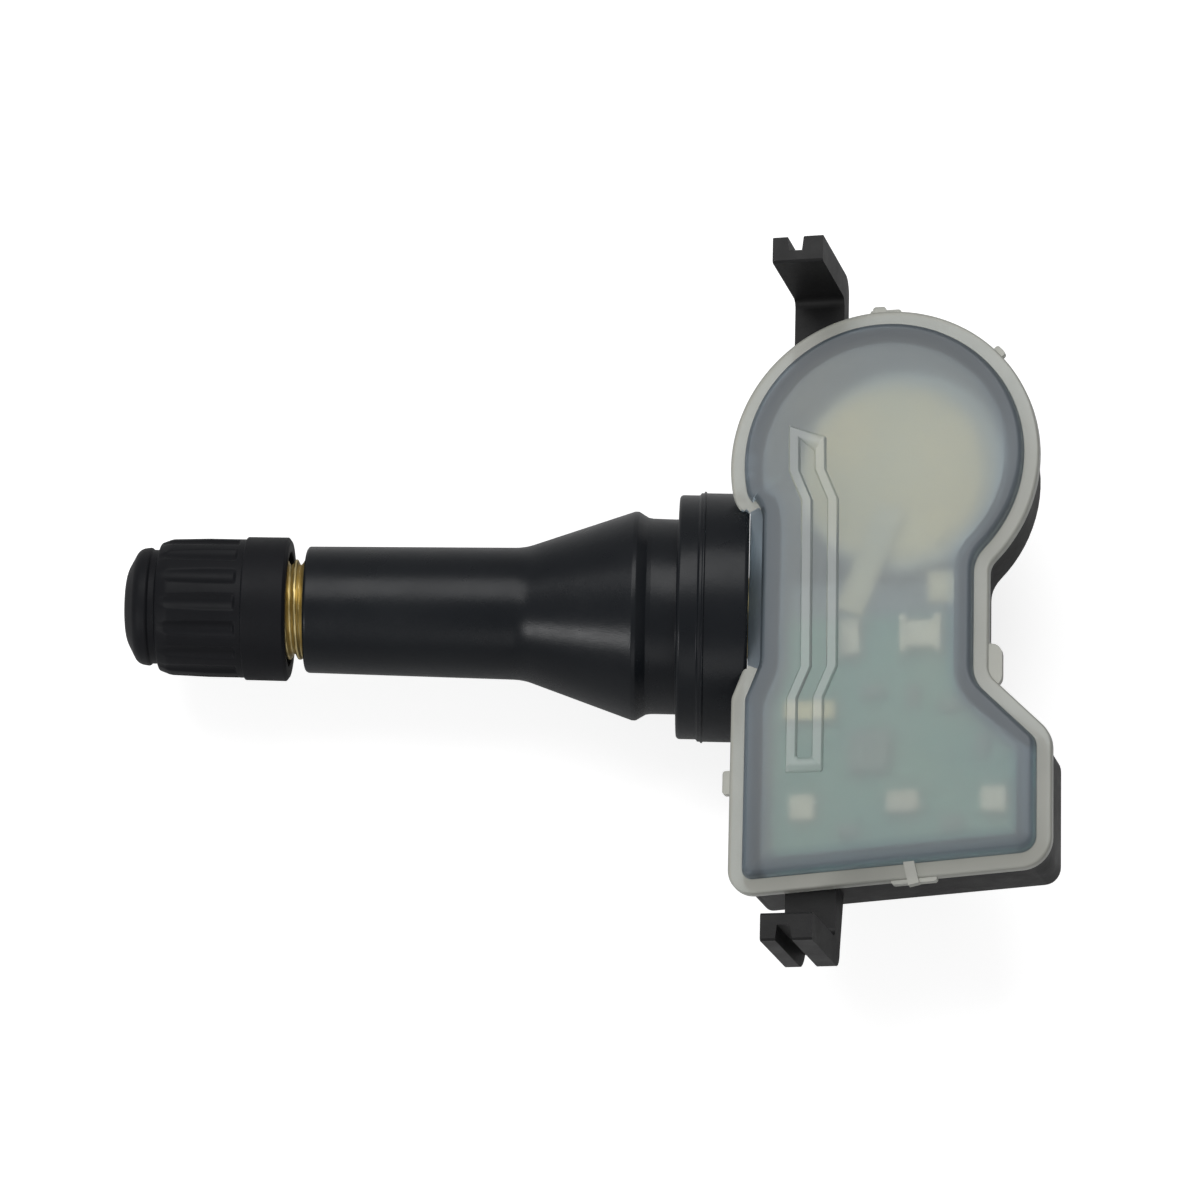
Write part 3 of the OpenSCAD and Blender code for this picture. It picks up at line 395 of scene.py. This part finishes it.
def threadCut(s, x, r, a):
    # phase = x / pitch - a / (2 pi), saw = 1 - |2 phase - 1|; the groove is f^2 (3 - 2 f) deep, with
    # f = (saw - flat) / (1 - 2 flat), and fades out at both ends
    phase = (x / s["pitch"] - a / (2 * math.pi)) % 1
    saw = 1 - np.abs(2 * phase - 1)
    f = np.clip((saw - s["threadFlat"]) / (1 - 2 * s["threadFlat"]), 0, 1)
    f = f * f * (3 - 2 * f)
    length = s["threadFade"]
    fade = np.clip((x - s["tip"] - 0.5) / length, 0, 1) * np.clip((s["threadEnd"] - x) / length, 0, 1)
    return r - s["threadDepth"] * f * fade


def stemTube(s):
    # one closed skin: the bore from the air way's end forward to the tip, then the outside back to the
    # screw hole's floor
    top, shank, foot, spigot = s["thread"] / 2, s["shank"] / 2, s["foot"] / 2, s["spigot"] / 2
    screw, air, core, chamber = s["screwHole"] / 2, s["airHole"] / 2, s["coreHole"] / 2, s["chamber"] / 2
    rows = np.arange(s["tip"] + 0.5, s["threadEnd"], s["pitch"] / s["turnRows"])
    thread = np.stack([rows, np.full(len(rows), top)], 1)
    mouth = filleted([
        (s["tip"] + 0.2, chamber, 0), (s["tip"], chamber + 0.2, 0.05), (s["tip"], top - 0.55, 0.12),
        (s["tip"] + 0.5, top, 0),
    ])
    back = filleted([
        (s["threadEnd"] + 0.1, top, 0), (s["threadEnd"] + 0.7, shank, 0), (s["footFrom"] - 0.8, shank, 0),
        (s["footFrom"], foot, 0), (s["footTo"], foot, 0), (s["footTo"], spigot, 0), (s["end"] - 0.35, spigot, 0.1),
        (s["end"], spigot - 0.35, 0.1), (s["end"], screw, 0), (s["screwFloor"], screw, 0), (s["screwFloor"], 0, 0),
    ])
    bore = filleted([
        (s["airEnd"], 0, 0), (s["airEnd"], air, 0), (s["coreEnd"] + 0.8, air, 0), (s["coreEnd"], core, 0.1),
        (s["chamberEnd"] + 1.2, core, 0.1), (s["chamberEnd"], chamber, 0.1), (s["tip"] + 0.2, chamber, 0),
    ])
    outside = np.concatenate([mouth, thread, back])
    isThread = np.zeros(len(outside), bool)
    isThread[len(mouth):len(mouth) + len(thread)] = True
    columns = s["columns"]
    angle = np.arange(columns) * 2 * math.pi / columns

    def ring(line, cut=None):
        x = np.repeat(line[:, 0][:, None], columns, axis=1)
        r = np.repeat(line[:, 1][:, None], columns, axis=1)
        if cut is not None:
            r = np.where(cut[:, None], threadCut(s, x, r, angle[None]), r)
        return np.stack([x, r * np.cos(angle), r * np.sin(angle)], axis=-1)

    skin = np.concatenate([ring(bore), ring(outside, isThread)])
    return makeMesh("brassStem", skin, gridQuads(len(skin), columns))


finishPiece(stemTube(stemShape), "sensor", ["valve_stem"], brassFinish, smoothAngle=40)
print("stem ready")


# sensor body outline, as a belt round circles

bodySeat = {"x": 5.5, "z": 6.4, "tilt": 12.5}
bodyShape = {
    "round": (10.3, 9.9), "roundRadius": 11.8, "cornerTurn": 190.9, "cornerRadius": 3.0, "low": (-1.1, -23.4),
    "lowSlope": 3.6, "square": 20.7, "squareRadius": 2.4, "hollow": 19.85, "hollowRadius": 1.5, "sharp": 0.5,
}


def lowSide(x):
    # the low side runs at a slope: y = low + (x - start) tan slope
    start, low = bodyShape["low"]
    return low + (x - start) * math.tan(math.radians(bodyShape["lowSlope"]))


def beltOf(s):
    # centre across, centre along, radius, arc steps; a minus radius bends from outside
    (cx, cy), r = s["round"], s["roundRadius"]
    corner, turn = s["cornerRadius"], math.radians(s["cornerTurn"])
    square, hollow = s["squareRadius"], s["hollowRadius"]
    return [
        (cx, cy, r, 96), (cx + (r - corner) * math.cos(turn), cy + (r - corner) * math.sin(turn), corner, 8),
        (-1.2, 5.5, -1.2, 8), (-1.2, -5.3, -1.2, 8), (0.4, -8.6, 1.5, 8), (0.8, -21.5, 1.9, 12),
        (s["square"], lowSide(s["square"]) + square, square, 12), (s["square"], -12.9, square, 12),
        (s["hollow"], -6.6, -hollow, 10),
        (s["hollow"], cy - math.sqrt((r + hollow) ** 2 - (s["hollow"] - cx) ** 2), -hollow, 10),
    ]


def onBody(points):
    # turned by the tilt about y, then moved to the body's own origin
    t = math.radians(bodySeat["tilt"])
    u, v, w = points[..., 0], points[..., 1], points[..., 2]
    return np.stack([bodySeat["x"] + u * math.cos(t) - w * math.sin(t), v,
                     bodySeat["z"] + u * math.sin(t) + w * math.cos(t)], axis=-1)


def offBody(points):
    # the way back from the shared frame to the body's own
    t = math.radians(bodySeat["tilt"])
    x, y, z = points[..., 0] - bodySeat["x"], points[..., 1], points[..., 2] - bodySeat["z"]
    return np.stack([x * math.cos(t) + z * math.sin(t), y, z * math.cos(t) - x * math.sin(t)], axis=-1)


def outlineAt(inset):
    # tangent arcs round the belt's circles, each circle smaller by the inset
    belt, sharp = beltOf(bodyShape), bodyShape["sharp"]
    count = len(belt)

    def heading(a, b):
        dx, dy = b[0] - a[0], b[1] - a[1]
        return math.atan2(dy, dx) - math.asin(max(-1, min(1, (b[2] - a[2]) / math.hypot(dx, dy))))

    arcs = []
    for i, c in enumerate(belt):
        before, after = belt[i - 1], belt[(i + 1) % count]
        h0, h1 = heading(before, c), heading(c, after)
        swing = (h1 - h0) % (2 * math.pi) if c[2] > 0 else -((h0 - h1) % (2 * math.pi))
        size = max(c[2] - inset, sharp) if c[2] > 0 else c[2] - inset
        inward = max(0, inset + sharp - c[2]) if c[2] > 0 else 0
        n0 = np.array([-math.sin(h0), math.cos(h0)])
        n1 = np.array([-math.sin(h1), math.cos(h1)])
        middle = np.array(c[:2]) + inward * (n0 + n1) / (1 + n0 @ n1)
        h = h0 + swing * np.linspace(0, 1, c[3] + 1)
        arcs.append(middle + size * np.stack([np.sin(h), -np.cos(h)], axis=-1))
    return np.concatenate(arcs)


def loftOf(name, levels, finishOf=None):
    # rows of the outline, each at (inset, height), closed by one flat face at either end;
    # finishOf gives the material's number for the faces between two rows
    rows = [np.column_stack([outlineAt(i), np.full(len(outlineAt(i)), h)]) for i, h in levels]
    points = onBody(np.stack(rows))
    n = points.shape[1]
    last = (len(levels) - 1) * n
    finishes = None
    if finishOf is not None:
        finishes = np.concatenate([np.repeat([finishOf(a, b) for a, b in zip(levels, levels[1:])], n), [0, 0]])
    return makeMesh(name, points, gridQuads(len(levels), n), [range(n), range(last, last + n)], finishes)


# cover

coverShape = {
    "rim": 1.0, "rimWidth": 1.05, "raise": 0.8, "plate": 1.0, "inner": 2.6, "edge": 0.16, "topRound": 0.42,
    "plateRows": [3.7, 3.2, 2.9], "frameHalf": 1.42, "ribWidth": 0.85, "ribHeight": 0.3,
    "frameLine": [(4.6, 12.1), (4.65, 9), (5.65, 6.6), (5.75, -6.4), (4.75, -8.8), (4.75, -14.45)],
    "relief": 9.575, "reliefFrom": -1.0, "reliefTo": 5.4, "notchDepth": 1.4, "notch": 6.4, "sideNub": 43,
    "centre": {"scatter": 0.05, "through": 0.88, "haze": 0.46,
               "dark": (0.385, 0.43, 0.43), "light": (0.44, 0.465, 0.43)},
    "rimFinish": {"scatter": 0.0, "through": 0.28, "haze": 0.34,
                  "dark": (0.345, 0.35, 0.315), "light": (0.41, 0.41, 0.37)},
    "ribFinish": {"scatter": 0.03, "through": 0.6, "haze": 0.35,
                  "dark": (0.42, 0.455, 0.44), "light": (0.47, 0.495, 0.475)},
    # thick is the moulding above the housing's wall; its darkest colour is painted shade on the band's top and low
    # sides and in the notch
    "thick": {"from": 1.9, "to": 3.3, "dark": (0.33, 0.42, 0.49), "light": (0.38, 0.46, 0.52),
              "endShade": (0.11, 0.145, 0.17), "soften": 0.9},
    "milk": {"dark": (0.46, 0.56, 0.68), "light": (0.52, 0.61, 0.72)}, "shade": (0.86, 0.87, 0.86, 1),
}


def quarter(cx, cy, r, fromAngle, toAngle, steps=5):
    a = np.radians(np.linspace(fromAngle, toAngle, steps + 1))
    return [(cx + r * math.cos(t), cy + r * math.sin(t)) for t in a]


def coverPiece(s):
    top = s["rim"] + s["raise"]
    e, w, t = s["edge"], s["rimWidth"], s["topRound"]
    inwards = s["plateRows"]
    levels = [(i, top - s["plate"]) for i in inwards]
    levels += [(s["inner"], top - s["plate"]), (s["inner"], 0.1), (s["inner"] - 0.1, 0), (e, 0)]
    levels += quarter(e, e, e, -90, -180) + quarter(0.2, s["rim"] - 0.2, 0.2, 180, 90)
    levels += [(w, s["rim"])] + quarter(w, s["rim"] + 0.12, 0.12, -90, 0, 3)
    levels += quarter(w + 0.14 + t, top - t, t, 180, 90, 7)
    levels += [(i, top) for i in [2.2, 2.5] + inwards[::-1]]
    levels = [l for i, l in enumerate(levels) if i == 0 or math.dist(l, levels[i - 1]) > 1e-4]
    body = loftOf("coverShell", levels, lambda a, b: int(max(a[0], b[0]) < w + 0.1))

    def band(half, height):
        trim = (s["frameHalf"] - half) * (s["ribWidth"] + 0.2) / s["ribWidth"]
        line = np.array(s["frameLine"])
        line[0, 1] -= trim
        line[-1, 1] += trim
        left, right = line - [half, 0], line + [half, 0]
        left[0, 1] += 0.5
        right[0, 1] -= 0.5
        ring = filleted([(*p, 0.25) for p in np.concatenate([left, right[::-1]])] + [(*left[0], 0)], 4)
        return np.column_stack([ring[:-1], np.full(len(ring) - 1, height)])

    half, high, root = s["frameHalf"], top + s["ribHeight"], top - 0.15
    thin = half - s["ribWidth"]
    rings = [band(half + 0.03, root), band(half + 0.03, top + 0.02), band(half, top + 0.18), band(half - 0.12, high),
             band(thin + 0.12, high), band(thin, top + 0.18), band(thin - 0.03, top + 0.02), band(thin - 0.03, root)]
    fewest = min(len(r) for r in rings)
    ridge = np.stack([r[:fewest] for r in rings])
    ribQuads = gridQuads(len(rings), fewest, wrapRows=True)
    ribs = makeMesh("ribs", onBody(ridge), ribQuads, (), np.full(len(ribQuads), 2))

    def lug(x, y, turn, width, reach, low=0.17, high=0.83, back=0.8, corner=0.22):
        # a small block with rounded outer corners, turned to face outwards
        c, n = math.cos(math.radians(turn)), math.sin(math.radians(turn))
        flat = filleted([(-back, -width / 2, 0), (reach, -width / 2, corner), (reach, width / 2, corner),
                         (-back, width / 2, 0)], 4)
        flat = np.stack([x + flat[:, 0] * c - flat[:, 1] * n, y + flat[:, 0] * n + flat[:, 1] * c], 1)
        both = np.stack([np.column_stack([flat, np.full(len(flat), h)]) for h in (low, high)])
        k = len(flat)
        return makeMesh("lug", onBody(both), gridQuads(2, k), [range(k), range(k, 2 * k)], np.full(k + 2, 1))

    # nubs of the edge: place across and along, the way it faces, width and reach
    (cx, cy), r = bodyShape["round"], bodyShape["roundRadius"]
    side, low = math.radians(s["sideNub"]), lowSide(12.9)
    lugs = [
        lug(cx, cy + r, 90, 2.4, 0.15), lug(cx - 0.5, cy + r - 0.05, 90, 1.0, 0.5, 0.22, 0.78),
        lug(cx + r * math.cos(side), cy + r * math.sin(side), s["sideNub"], 0.9, 0.4),
        lug(-1.1, -14.8, 180, 1.8, 0.55), lug(12.9, low, bodyShape["lowSlope"] - 90, 3.4, 0.35),
        lug(18.35, -6.5, 0, 3.3, 1.0, corner=0.8), lug(12.72, low + 0.6, 103, 0.8, 1.5, 0.7, 1.45, 1.2),
    ]
    start, end, wide = s["reliefFrom"], s["reliefTo"], s["relief"]
    relief = turned("relief", np.array([(start, 0), (start, wide), (end, wide), (end, 0)]), 120)
    for piece in [body, ribs, relief] + lugs:
        for finish in (milkyFinish("coverCentre", s["centre"]), milkyFinish("coverRim", s["rimFinish"]),
                       milkyFinish("coverRibs", s["ribFinish"])):
            piece.data.materials.append(finish)
    joinSolids(body, [ribs] + lugs)
    joinSolids(body, [relief], "DIFFERENCE")

    # in the notch beside the valve the rim is as dark as the moulding above the housing's wall: painted shade between
    # the flange and the cover
    middles = np.empty(len(body.data.polygons) * 3)
    body.data.polygons.foreach_get("center", middles)
    middles = offBody(middles.reshape(-1, 3) / mm)
    finishes = np.empty(len(body.data.polygons), int)
    body.data.polygons.foreach_get("material_index", finishes)
    finishes[(middles[:, 0] < s["notchDepth"]) & (np.abs(middles[:, 1]) < s["notch"])] = 0
    body.data.polygons.foreach_set("material_index", finishes)

    # the moulding is thick above the housing's wall and takes more light there:
    # (to - gap) / (to - from), kept within 0 and 1, with gap the distance to the outline
    spots = np.empty(len(body.data.vertices) * 3)
    body.data.vertices.foreach_get("co", spots)
    flat = offBody(spots.reshape(-1, 3) / mm)[:, :2]
    edge = outlineAt(0)
    along = np.roll(edge, -1, axis=0) - edge
    across = np.abs(along[:, 0]) / np.maximum(np.linalg.norm(along, axis=1), 1e-9)
    share = ((flat[:, None] - edge) * along).sum(-1) / np.maximum((along ** 2).sum(-1), 1e-9)
    reach = np.linalg.norm(flat[:, None] - edge - np.clip(share, 0, 1)[..., None] * along, axis=-1)
    gap = reach.min(axis=1)
    thick = body.data.attributes.new("thick", "FLOAT", "POINT")
    limits = s["thick"]
    thick.data.foreach_set("value", np.clip((limits["to"] - gap) / (limits["to"] - limits["from"]), 0, 1))
    # painted shade: the share of the nearby edge that runs across the body, each piece of edge at distance d weighted
    # by its length times exp(-((d - gap) / soften)^2); 1 in the notch, where the painted shade is darkest
    endShade = body.data.attributes.new("endShade", "FLOAT", "POINT")
    weight = np.exp(-((reach - gap[:, None]) / limits["soften"]) ** 2) * np.linalg.norm(along, axis=1)
    inNotch = (flat[:, 0] < s["notchDepth"]) & (np.abs(flat[:, 1]) < s["notch"])
    endShade.data.foreach_set("value", np.where(inNotch, 1.0, (weight * across).sum(axis=1) / weight.sum(axis=1)))
    return body


def milkyFinish(name, look):
    # milky moulding: part of the light goes through and is softened, the rest is scattered back
    if name in bpy.data.materials:
        return bpy.data.materials[name]
    material, tree, shader, place = newMaterial(name, {
        "Transmission Weight": look["through"], "IOR": 1.42, "Roughness": look["haze"], "Specular IOR Level": 0.3,
        "Coat Weight": 0.35, "Coat Roughness": 0.18, "Coat IOR": 1.3,
    })
    cloud = noiseField(tree, place, 0.09, 4.0, 0.55)
    tint = blendOf(tree, spreadOf(tree, cloud, 0.0, 1.0), look["dark"], look["light"])
    if name != "coverRim":
        limits = coverShape["thick"]
        deep = blendOf(tree, spreadOf(tree, cloud, 0.0, 1.0), limits["dark"], limits["light"])
        # painted shade: darker where the outline runs across the body, darkest in the notch
        endShade = tree.nodes.new("ShaderNodeAttribute")
        endShade.attribute_name = "endShade"
        deep = blendOf(tree, endShade.outputs["Fac"], deep, limits["endShade"])
        thick = tree.nodes.new("ShaderNodeAttribute")
        thick.attribute_name = "thick"
        tint = blendOf(tree, thick.outputs["Fac"], tint, deep)
    tree.links.new(tint, shader.inputs["Base Color"])
    fine = bumpOf(tree, noiseField(tree, place, 6.0, 2.0), 0.004)
    tree.links.new(bumpOf(tree, noiseField(tree, place, 0.5, 3.0), 0.01, fine), shader.inputs["Normal"])
    # the milk in the moulding scatters blue light more than red
    milk = tree.nodes.new("ShaderNodeBsdfDiffuse")
    milkTone = blendOf(tree, spreadOf(tree, cloud, 0.0, 1.0), coverShape["milk"]["dark"], coverShape["milk"]["light"])
    tree.links.new(milkTone, milk.inputs["Color"])
    veiled = tree.nodes.new("ShaderNodeMixShader")
    veiled.inputs[0].default_value = look["scatter"]
    tree.links.new(shader.outputs[0], veiled.inputs[1])
    tree.links.new(milk.outputs[0], veiled.inputs[2])
    # lamp light reaches the pieces under the cover, dimmed by the moulding
    rays = tree.nodes.new("ShaderNodeLightPath")
    clear = tree.nodes.new("ShaderNodeBsdfTransparent")
    clear.inputs["Color"].default_value = coverShape["shade"]
    either = tree.nodes.new("ShaderNodeMixShader")
    tree.links.new(rays.outputs["Is Shadow Ray"], either.inputs[0])
    tree.links.new(veiled.outputs[0], either.inputs[1])
    tree.links.new(clear.outputs[0], either.inputs[2])
    tree.links.new(either.outputs[0], tree.nodes["Material Output"].inputs["Surface"])
    return material


cover = finishPiece(coverPiece(coverShape), "sensor", ["cover"], None, smoothAngle=38)
print("cover ready,", len(cover.data.polygons), "faces,", [m.name for m in cover.data.materials])


# housing, from the construction's own solid with its edges rounded

finishPiece(weldedCopy("housingShell", "housing"), "sensor", ["housing"], housingFinish,
            edge=0.12, smoothAngle=30)
print("housing ready")


# electronics

boardShape = {
    "dark": (0.048, 0.215, 0.152), "light": (0.105, 0.32, 0.228), "cloud": (0.078, 0.26, 0.19),
    "darkEnd": (0.11, 0.14, 0.16), "darkEndFrom": -2.4, "darkEndTo": -1.4,
    "tracks": 420, "trackWidth": 0.03, "trackHeight": 0.02, "trackTurn": 45,
}
# the cream film ends near the cell's edge, and one small part is pale: from and to are the distances
# from the spot, in millimetres, between which the finish gives way to the colour beyond
cellShape = {"spot": (10.7, 9.4, -1.2), "from": 6.3, "to": 7.7, "beyond": (0.36, 0.39, 0.40)}
partShape = {"spot": (11.8, -16.4, 0), "from": 1.7, "to": 2.0, "beyond": (0.12, 0.18, 0.15)}


def boardFinish(s):
    # green solder mask over copper: paler lines where tracks lie under it
    material, tree, shader, place = newMaterial("boardMask", {"Roughness": 0.35, "Specular IOR Level": 0.5})
    mapping = tree.nodes.new("ShaderNodeMapping")
    mapping.inputs["Rotation"].default_value = (0, 0, math.radians(s["trackTurn"]))
    tree.links.new(place, mapping.inputs["Vector"])
    cells = tree.nodes.new("ShaderNodeTexBrick")
    cells.inputs["Scale"].default_value = s["tracks"]
    cells.inputs["Mortar Size"].default_value = s["trackWidth"]
    for socket, grey in (("Color1", 0), ("Color2", 0.2), ("Mortar", 1)):
        cells.inputs[socket].default_value = (grey, grey, grey, 1)
    tree.links.new(mapping.outputs["Vector"], cells.inputs["Vector"])
    mask = blendOf(tree, cells.outputs["Color"], s["dark"], s["light"])
    cloud = noiseField(tree, place, 0.3, 3.0)
    green = blendOf(tree, spreadOf(tree, cloud, 0.0, 0.4), mask, s["cloud"])
    # the end beside the battery is dark grey-blue instead of green
    apart = tree.nodes.new("ShaderNodeSeparateXYZ")
    tree.links.new(place, apart.inputs[0])
    darkEnd = spreadOf(tree, apart.outputs["Y"], 0.0, 1.0, s["darkEndFrom"] * mm, s["darkEndTo"] * mm)
    tree.links.new(blendOf(tree, darkEnd, green, s["darkEnd"]), shader.inputs["Base Color"])
    tree.links.new(bumpOf(tree, cells.outputs["Color"], s["trackHeight"]), shader.inputs["Normal"])
    return material


def aroundSpot(material, s):
    # the finish's own colour near a point of the body, another colour beyond it
    tree = material.node_tree
    shader = tree.nodes["Principled BSDF"]
    near = shader.inputs["Base Color"].links[0].from_socket
    place = tree.nodes.new("ShaderNodeTexCoord").outputs["Object"]
    reach = tree.nodes.new("ShaderNodeVectorMath")
    reach.operation = "DISTANCE"
    reach.inputs[1].default_value = tuple(onBody(np.array(s["spot"])) * mm)
    tree.links.new(place, reach.inputs[0])
    beyond = spreadOf(tree, reach.outputs["Value"], 0.0, 1.0, s["from"] * mm, s["to"] * mm)
    tree.links.new(blendOf(tree, beyond, near, s["beyond"]), shader.inputs["Base Color"])
    return material


cellFinish = aroundSpot(mouldedFinish("cellFilm", (0.77, 0.62, 0.36), (0.87, 0.73, 0.46), (0.35, 0.5), 5.0, 0.003),
                        cellShape)
partFinish = aroundSpot(mouldedFinish("smallParts", (0.50, 0.44, 0.34), (0.66, 0.60, 0.50), (0.35, 0.5), 5.0, 0.004),
                        partShape)
electronics = [  # name, node, slot, finish, rounding of the edges, smoothing angle
    ("circuitBoard", "circuit_board", "board", boardFinish(boardShape), 0.05, 34),
    ("coinCell", "battery", "battery_can", cellFinish, 0.0, 40),
    ("strapMinus", "battery_strap_minus", "strap", strapFinish, 0.04, 34),
    ("strapPlus", "battery_strap_plus", "strap", strapFinish, 0.04, 34),
    ("antennaCoil", "antenna_coil", "coil", coilFinish, 0.06, 34),
    ("crystalCan", "crystal", "steel", canFinish, 0.08, 34),
    ("antennaStripPiece", "radio_antenna", "antenna_strip", antennaFinish, 0.05, 34),
    ("smallChips", "chip_parts", "small_parts", partFinish, 0.06, 34),
    ("boardPins", "board_pins", "pin_plastic", pinFinish, 0.08, 34),
]
for pieceName, nodeName, slotName, finish, edge, angle in electronics:
    finishPiece(weldedCopy(pieceName, nodeName), "sensor", [nodeName], finish, edge, angle)
print("electronics ready")


# core spring


def springPiece():
    # the coil in the construction's own shape, with a mesh of its own
    piece = finishPiece(weldedCopy("coreSpring", "core_spring"), "sensor", ["core_spring"], steelFinish,
                        0.0, 50)
    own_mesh(piece)


springPiece()
print("spring ready")


# pieces that keep the construction's own shape

for nodeName, finish in (("cap_seal", softRubberFinish), ("core_barrel", brassFinish), ("core_gasket", redSealFinish),
                         ("core_pin", steelFinish), ("core_cup", softRubberFinish),
                         ("fixing_screw", steelFinish), ("pressure_chip", chipFinish), ("port_seal", softRubberFinish)):
    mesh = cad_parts[nodeName].data
    mesh.materials.clear()
    mesh.materials.append(finish)


# floor, light and camera

stageShape = {
    "floor": -9.68, "half": 1500, "dark": (0.54, 0.54, 0.54), "light": (0.57, 0.57, 0.57), "seenLift": 0.74,
    "glossLift": 0.04, "sky": 0.25, "glossSky": 0.2,
    "lamps": [  # name, place, target, size, watts
        ("softTop", (-60, 210, 400), (0, 0, 0), (420, 260), 1.38),
        ("softFront", (80, -420, 260), (0, 0, 0), (320, 220), 0.3),
        ("smallLeft", (-250, -225, 222), (-11, 0, 0), (80, 80), 0.42),
    ],
}


def floorMaterial(s):
    material, tree, shader, place = newMaterial("paleFloor", {"Roughness": 0.9, "Specular IOR Level": 0.0})
    cloud = spreadOf(tree, noiseField(tree, place, 0.002, 2.0), 0.0, 1.0)
    tree.links.new(blendOf(tree, cloud, s["dark"], s["light"]), shader.inputs["Base Color"])
    # seen by the camera and through the cover the floor is lifted to white, in reflections a little:
    # lift = seenLift max(camera, transmission) + glossLift glossy
    rays = tree.nodes.new("ShaderNodeLightPath")
    seen = tree.nodes.new("ShaderNodeMath")
    seen.operation = "MAXIMUM"
    tree.links.new(rays.outputs["Is Camera Ray"], seen.inputs[0])
    tree.links.new(rays.outputs["Is Transmission Ray"], seen.inputs[1])
    gloss = tree.nodes.new("ShaderNodeMath")
    gloss.operation = "MULTIPLY"
    gloss.inputs[1].default_value = s["glossLift"]
    tree.links.new(rays.outputs["Is Glossy Ray"], gloss.inputs[0])
    lift = tree.nodes.new("ShaderNodeMath")
    lift.operation = "MULTIPLY_ADD"
    lift.inputs[1].default_value = s["seenLift"]
    tree.links.new(seen.outputs[0], lift.inputs[0])
    tree.links.new(gloss.outputs[0], lift.inputs[2])
    shader.inputs["Emission Color"].default_value = (1, 1, 1, 1)
    tree.links.new(lift.outputs[0], shader.inputs["Emission Strength"])
    return material


def makeStage(s):
    h, z = s["half"], s["floor"]
    corners = np.array([[-h, -h, z], [h, -h, z], [h, h, z], [-h, h, z]], float)
    mesh = bpy.data.meshes.new("floor")
    mesh.from_pydata((corners * mm).tolist(), [], [[0, 1, 2, 3]])
    floor = bpy.data.objects.new("floor", mesh)
    scene.collection.objects.link(floor)
    mesh.materials.append(floorMaterial(s))


def areaLight(name, place, target, size, watts):
    lamp = bpy.data.lights.new(name, "AREA")
    lamp.shape = "RECTANGLE"
    lamp.size, lamp.size_y = size[0] * mm, size[1] * mm
    lamp.energy = watts
    light = bpy.data.objects.new(name, lamp)
    scene.collection.objects.link(light)
    light.location = Vector(place) * mm
    light.rotation_euler = (Vector(target) - Vector(place)).to_track_quat("-Z", "Y").to_euler()


def makeSky(s):
    # an even sky, a little stronger in reflections: sky + glossSky glossy
    world = bpy.data.worlds.new("studio")
    scene.world = world
    world.use_nodes = True
    tree = world.node_tree
    background = tree.nodes["Background"]
    background.inputs["Color"].default_value = (1, 1, 1, 1)
    rays = tree.nodes.new("ShaderNodeLightPath")
    strength = tree.nodes.new("ShaderNodeMath")
    strength.operation = "MULTIPLY_ADD"
    strength.inputs[1].default_value = s["glossSky"]
    strength.inputs[2].default_value = s["sky"]
    tree.links.new(rays.outputs["Is Glossy Ray"], strength.inputs[0])
    tree.links.new(strength.outputs[0], background.inputs["Strength"])


makeStage(stageShape)
for lampShape in stageShape["lamps"]:
    areaLight(*lampShape)
makeSky(stageShape)

cameraView = {
    "scale": 13.05, "distance": 383.0, "tip": 16.5, "turn": 1.8, "roll": 1.12, "origin": (678, 617),
    "frame": 1200, "sensor": 36,
}


def makeCamera(c):
    # the photo's view: roll about the line of sight, turn about y, tip about x; the object's origin falls
    # on its pixel of the frame, scale is in pixels a millimetre: focal length = scale distance sensor / frame
    turnBack = (Matrix.Rotation(math.radians(-c["roll"]), 3, "Z") @ Matrix.Rotation(math.radians(-c["turn"]), 3, "Y")
                @ Matrix.Rotation(math.radians(-c["tip"]), 3, "X"))
    half = c["frame"] / 2
    offset = Vector(((c["origin"][0] - half) / c["scale"], (half - c["origin"][1]) / c["scale"], -c["distance"]))
    facing = turnBack.transposed()
    lens = bpy.data.cameras.new("camera")
    lens.sensor_width = c["sensor"]
    lens.sensor_fit = "HORIZONTAL"
    lens.lens = c["scale"] * c["distance"] * c["sensor"] / c["frame"]
    lens.clip_start, lens.clip_end = 0.01, 10
    camera = bpy.data.objects.new("camera", lens)
    scene.collection.objects.link(camera)
    camera.matrix_world = Matrix.Translation(-(facing @ offset) * mm) @ facing.to_4x4()
    scene.camera = camera


makeCamera(cameraView)
scene.view_settings.view_transform = "Standard"
print("stage ready")
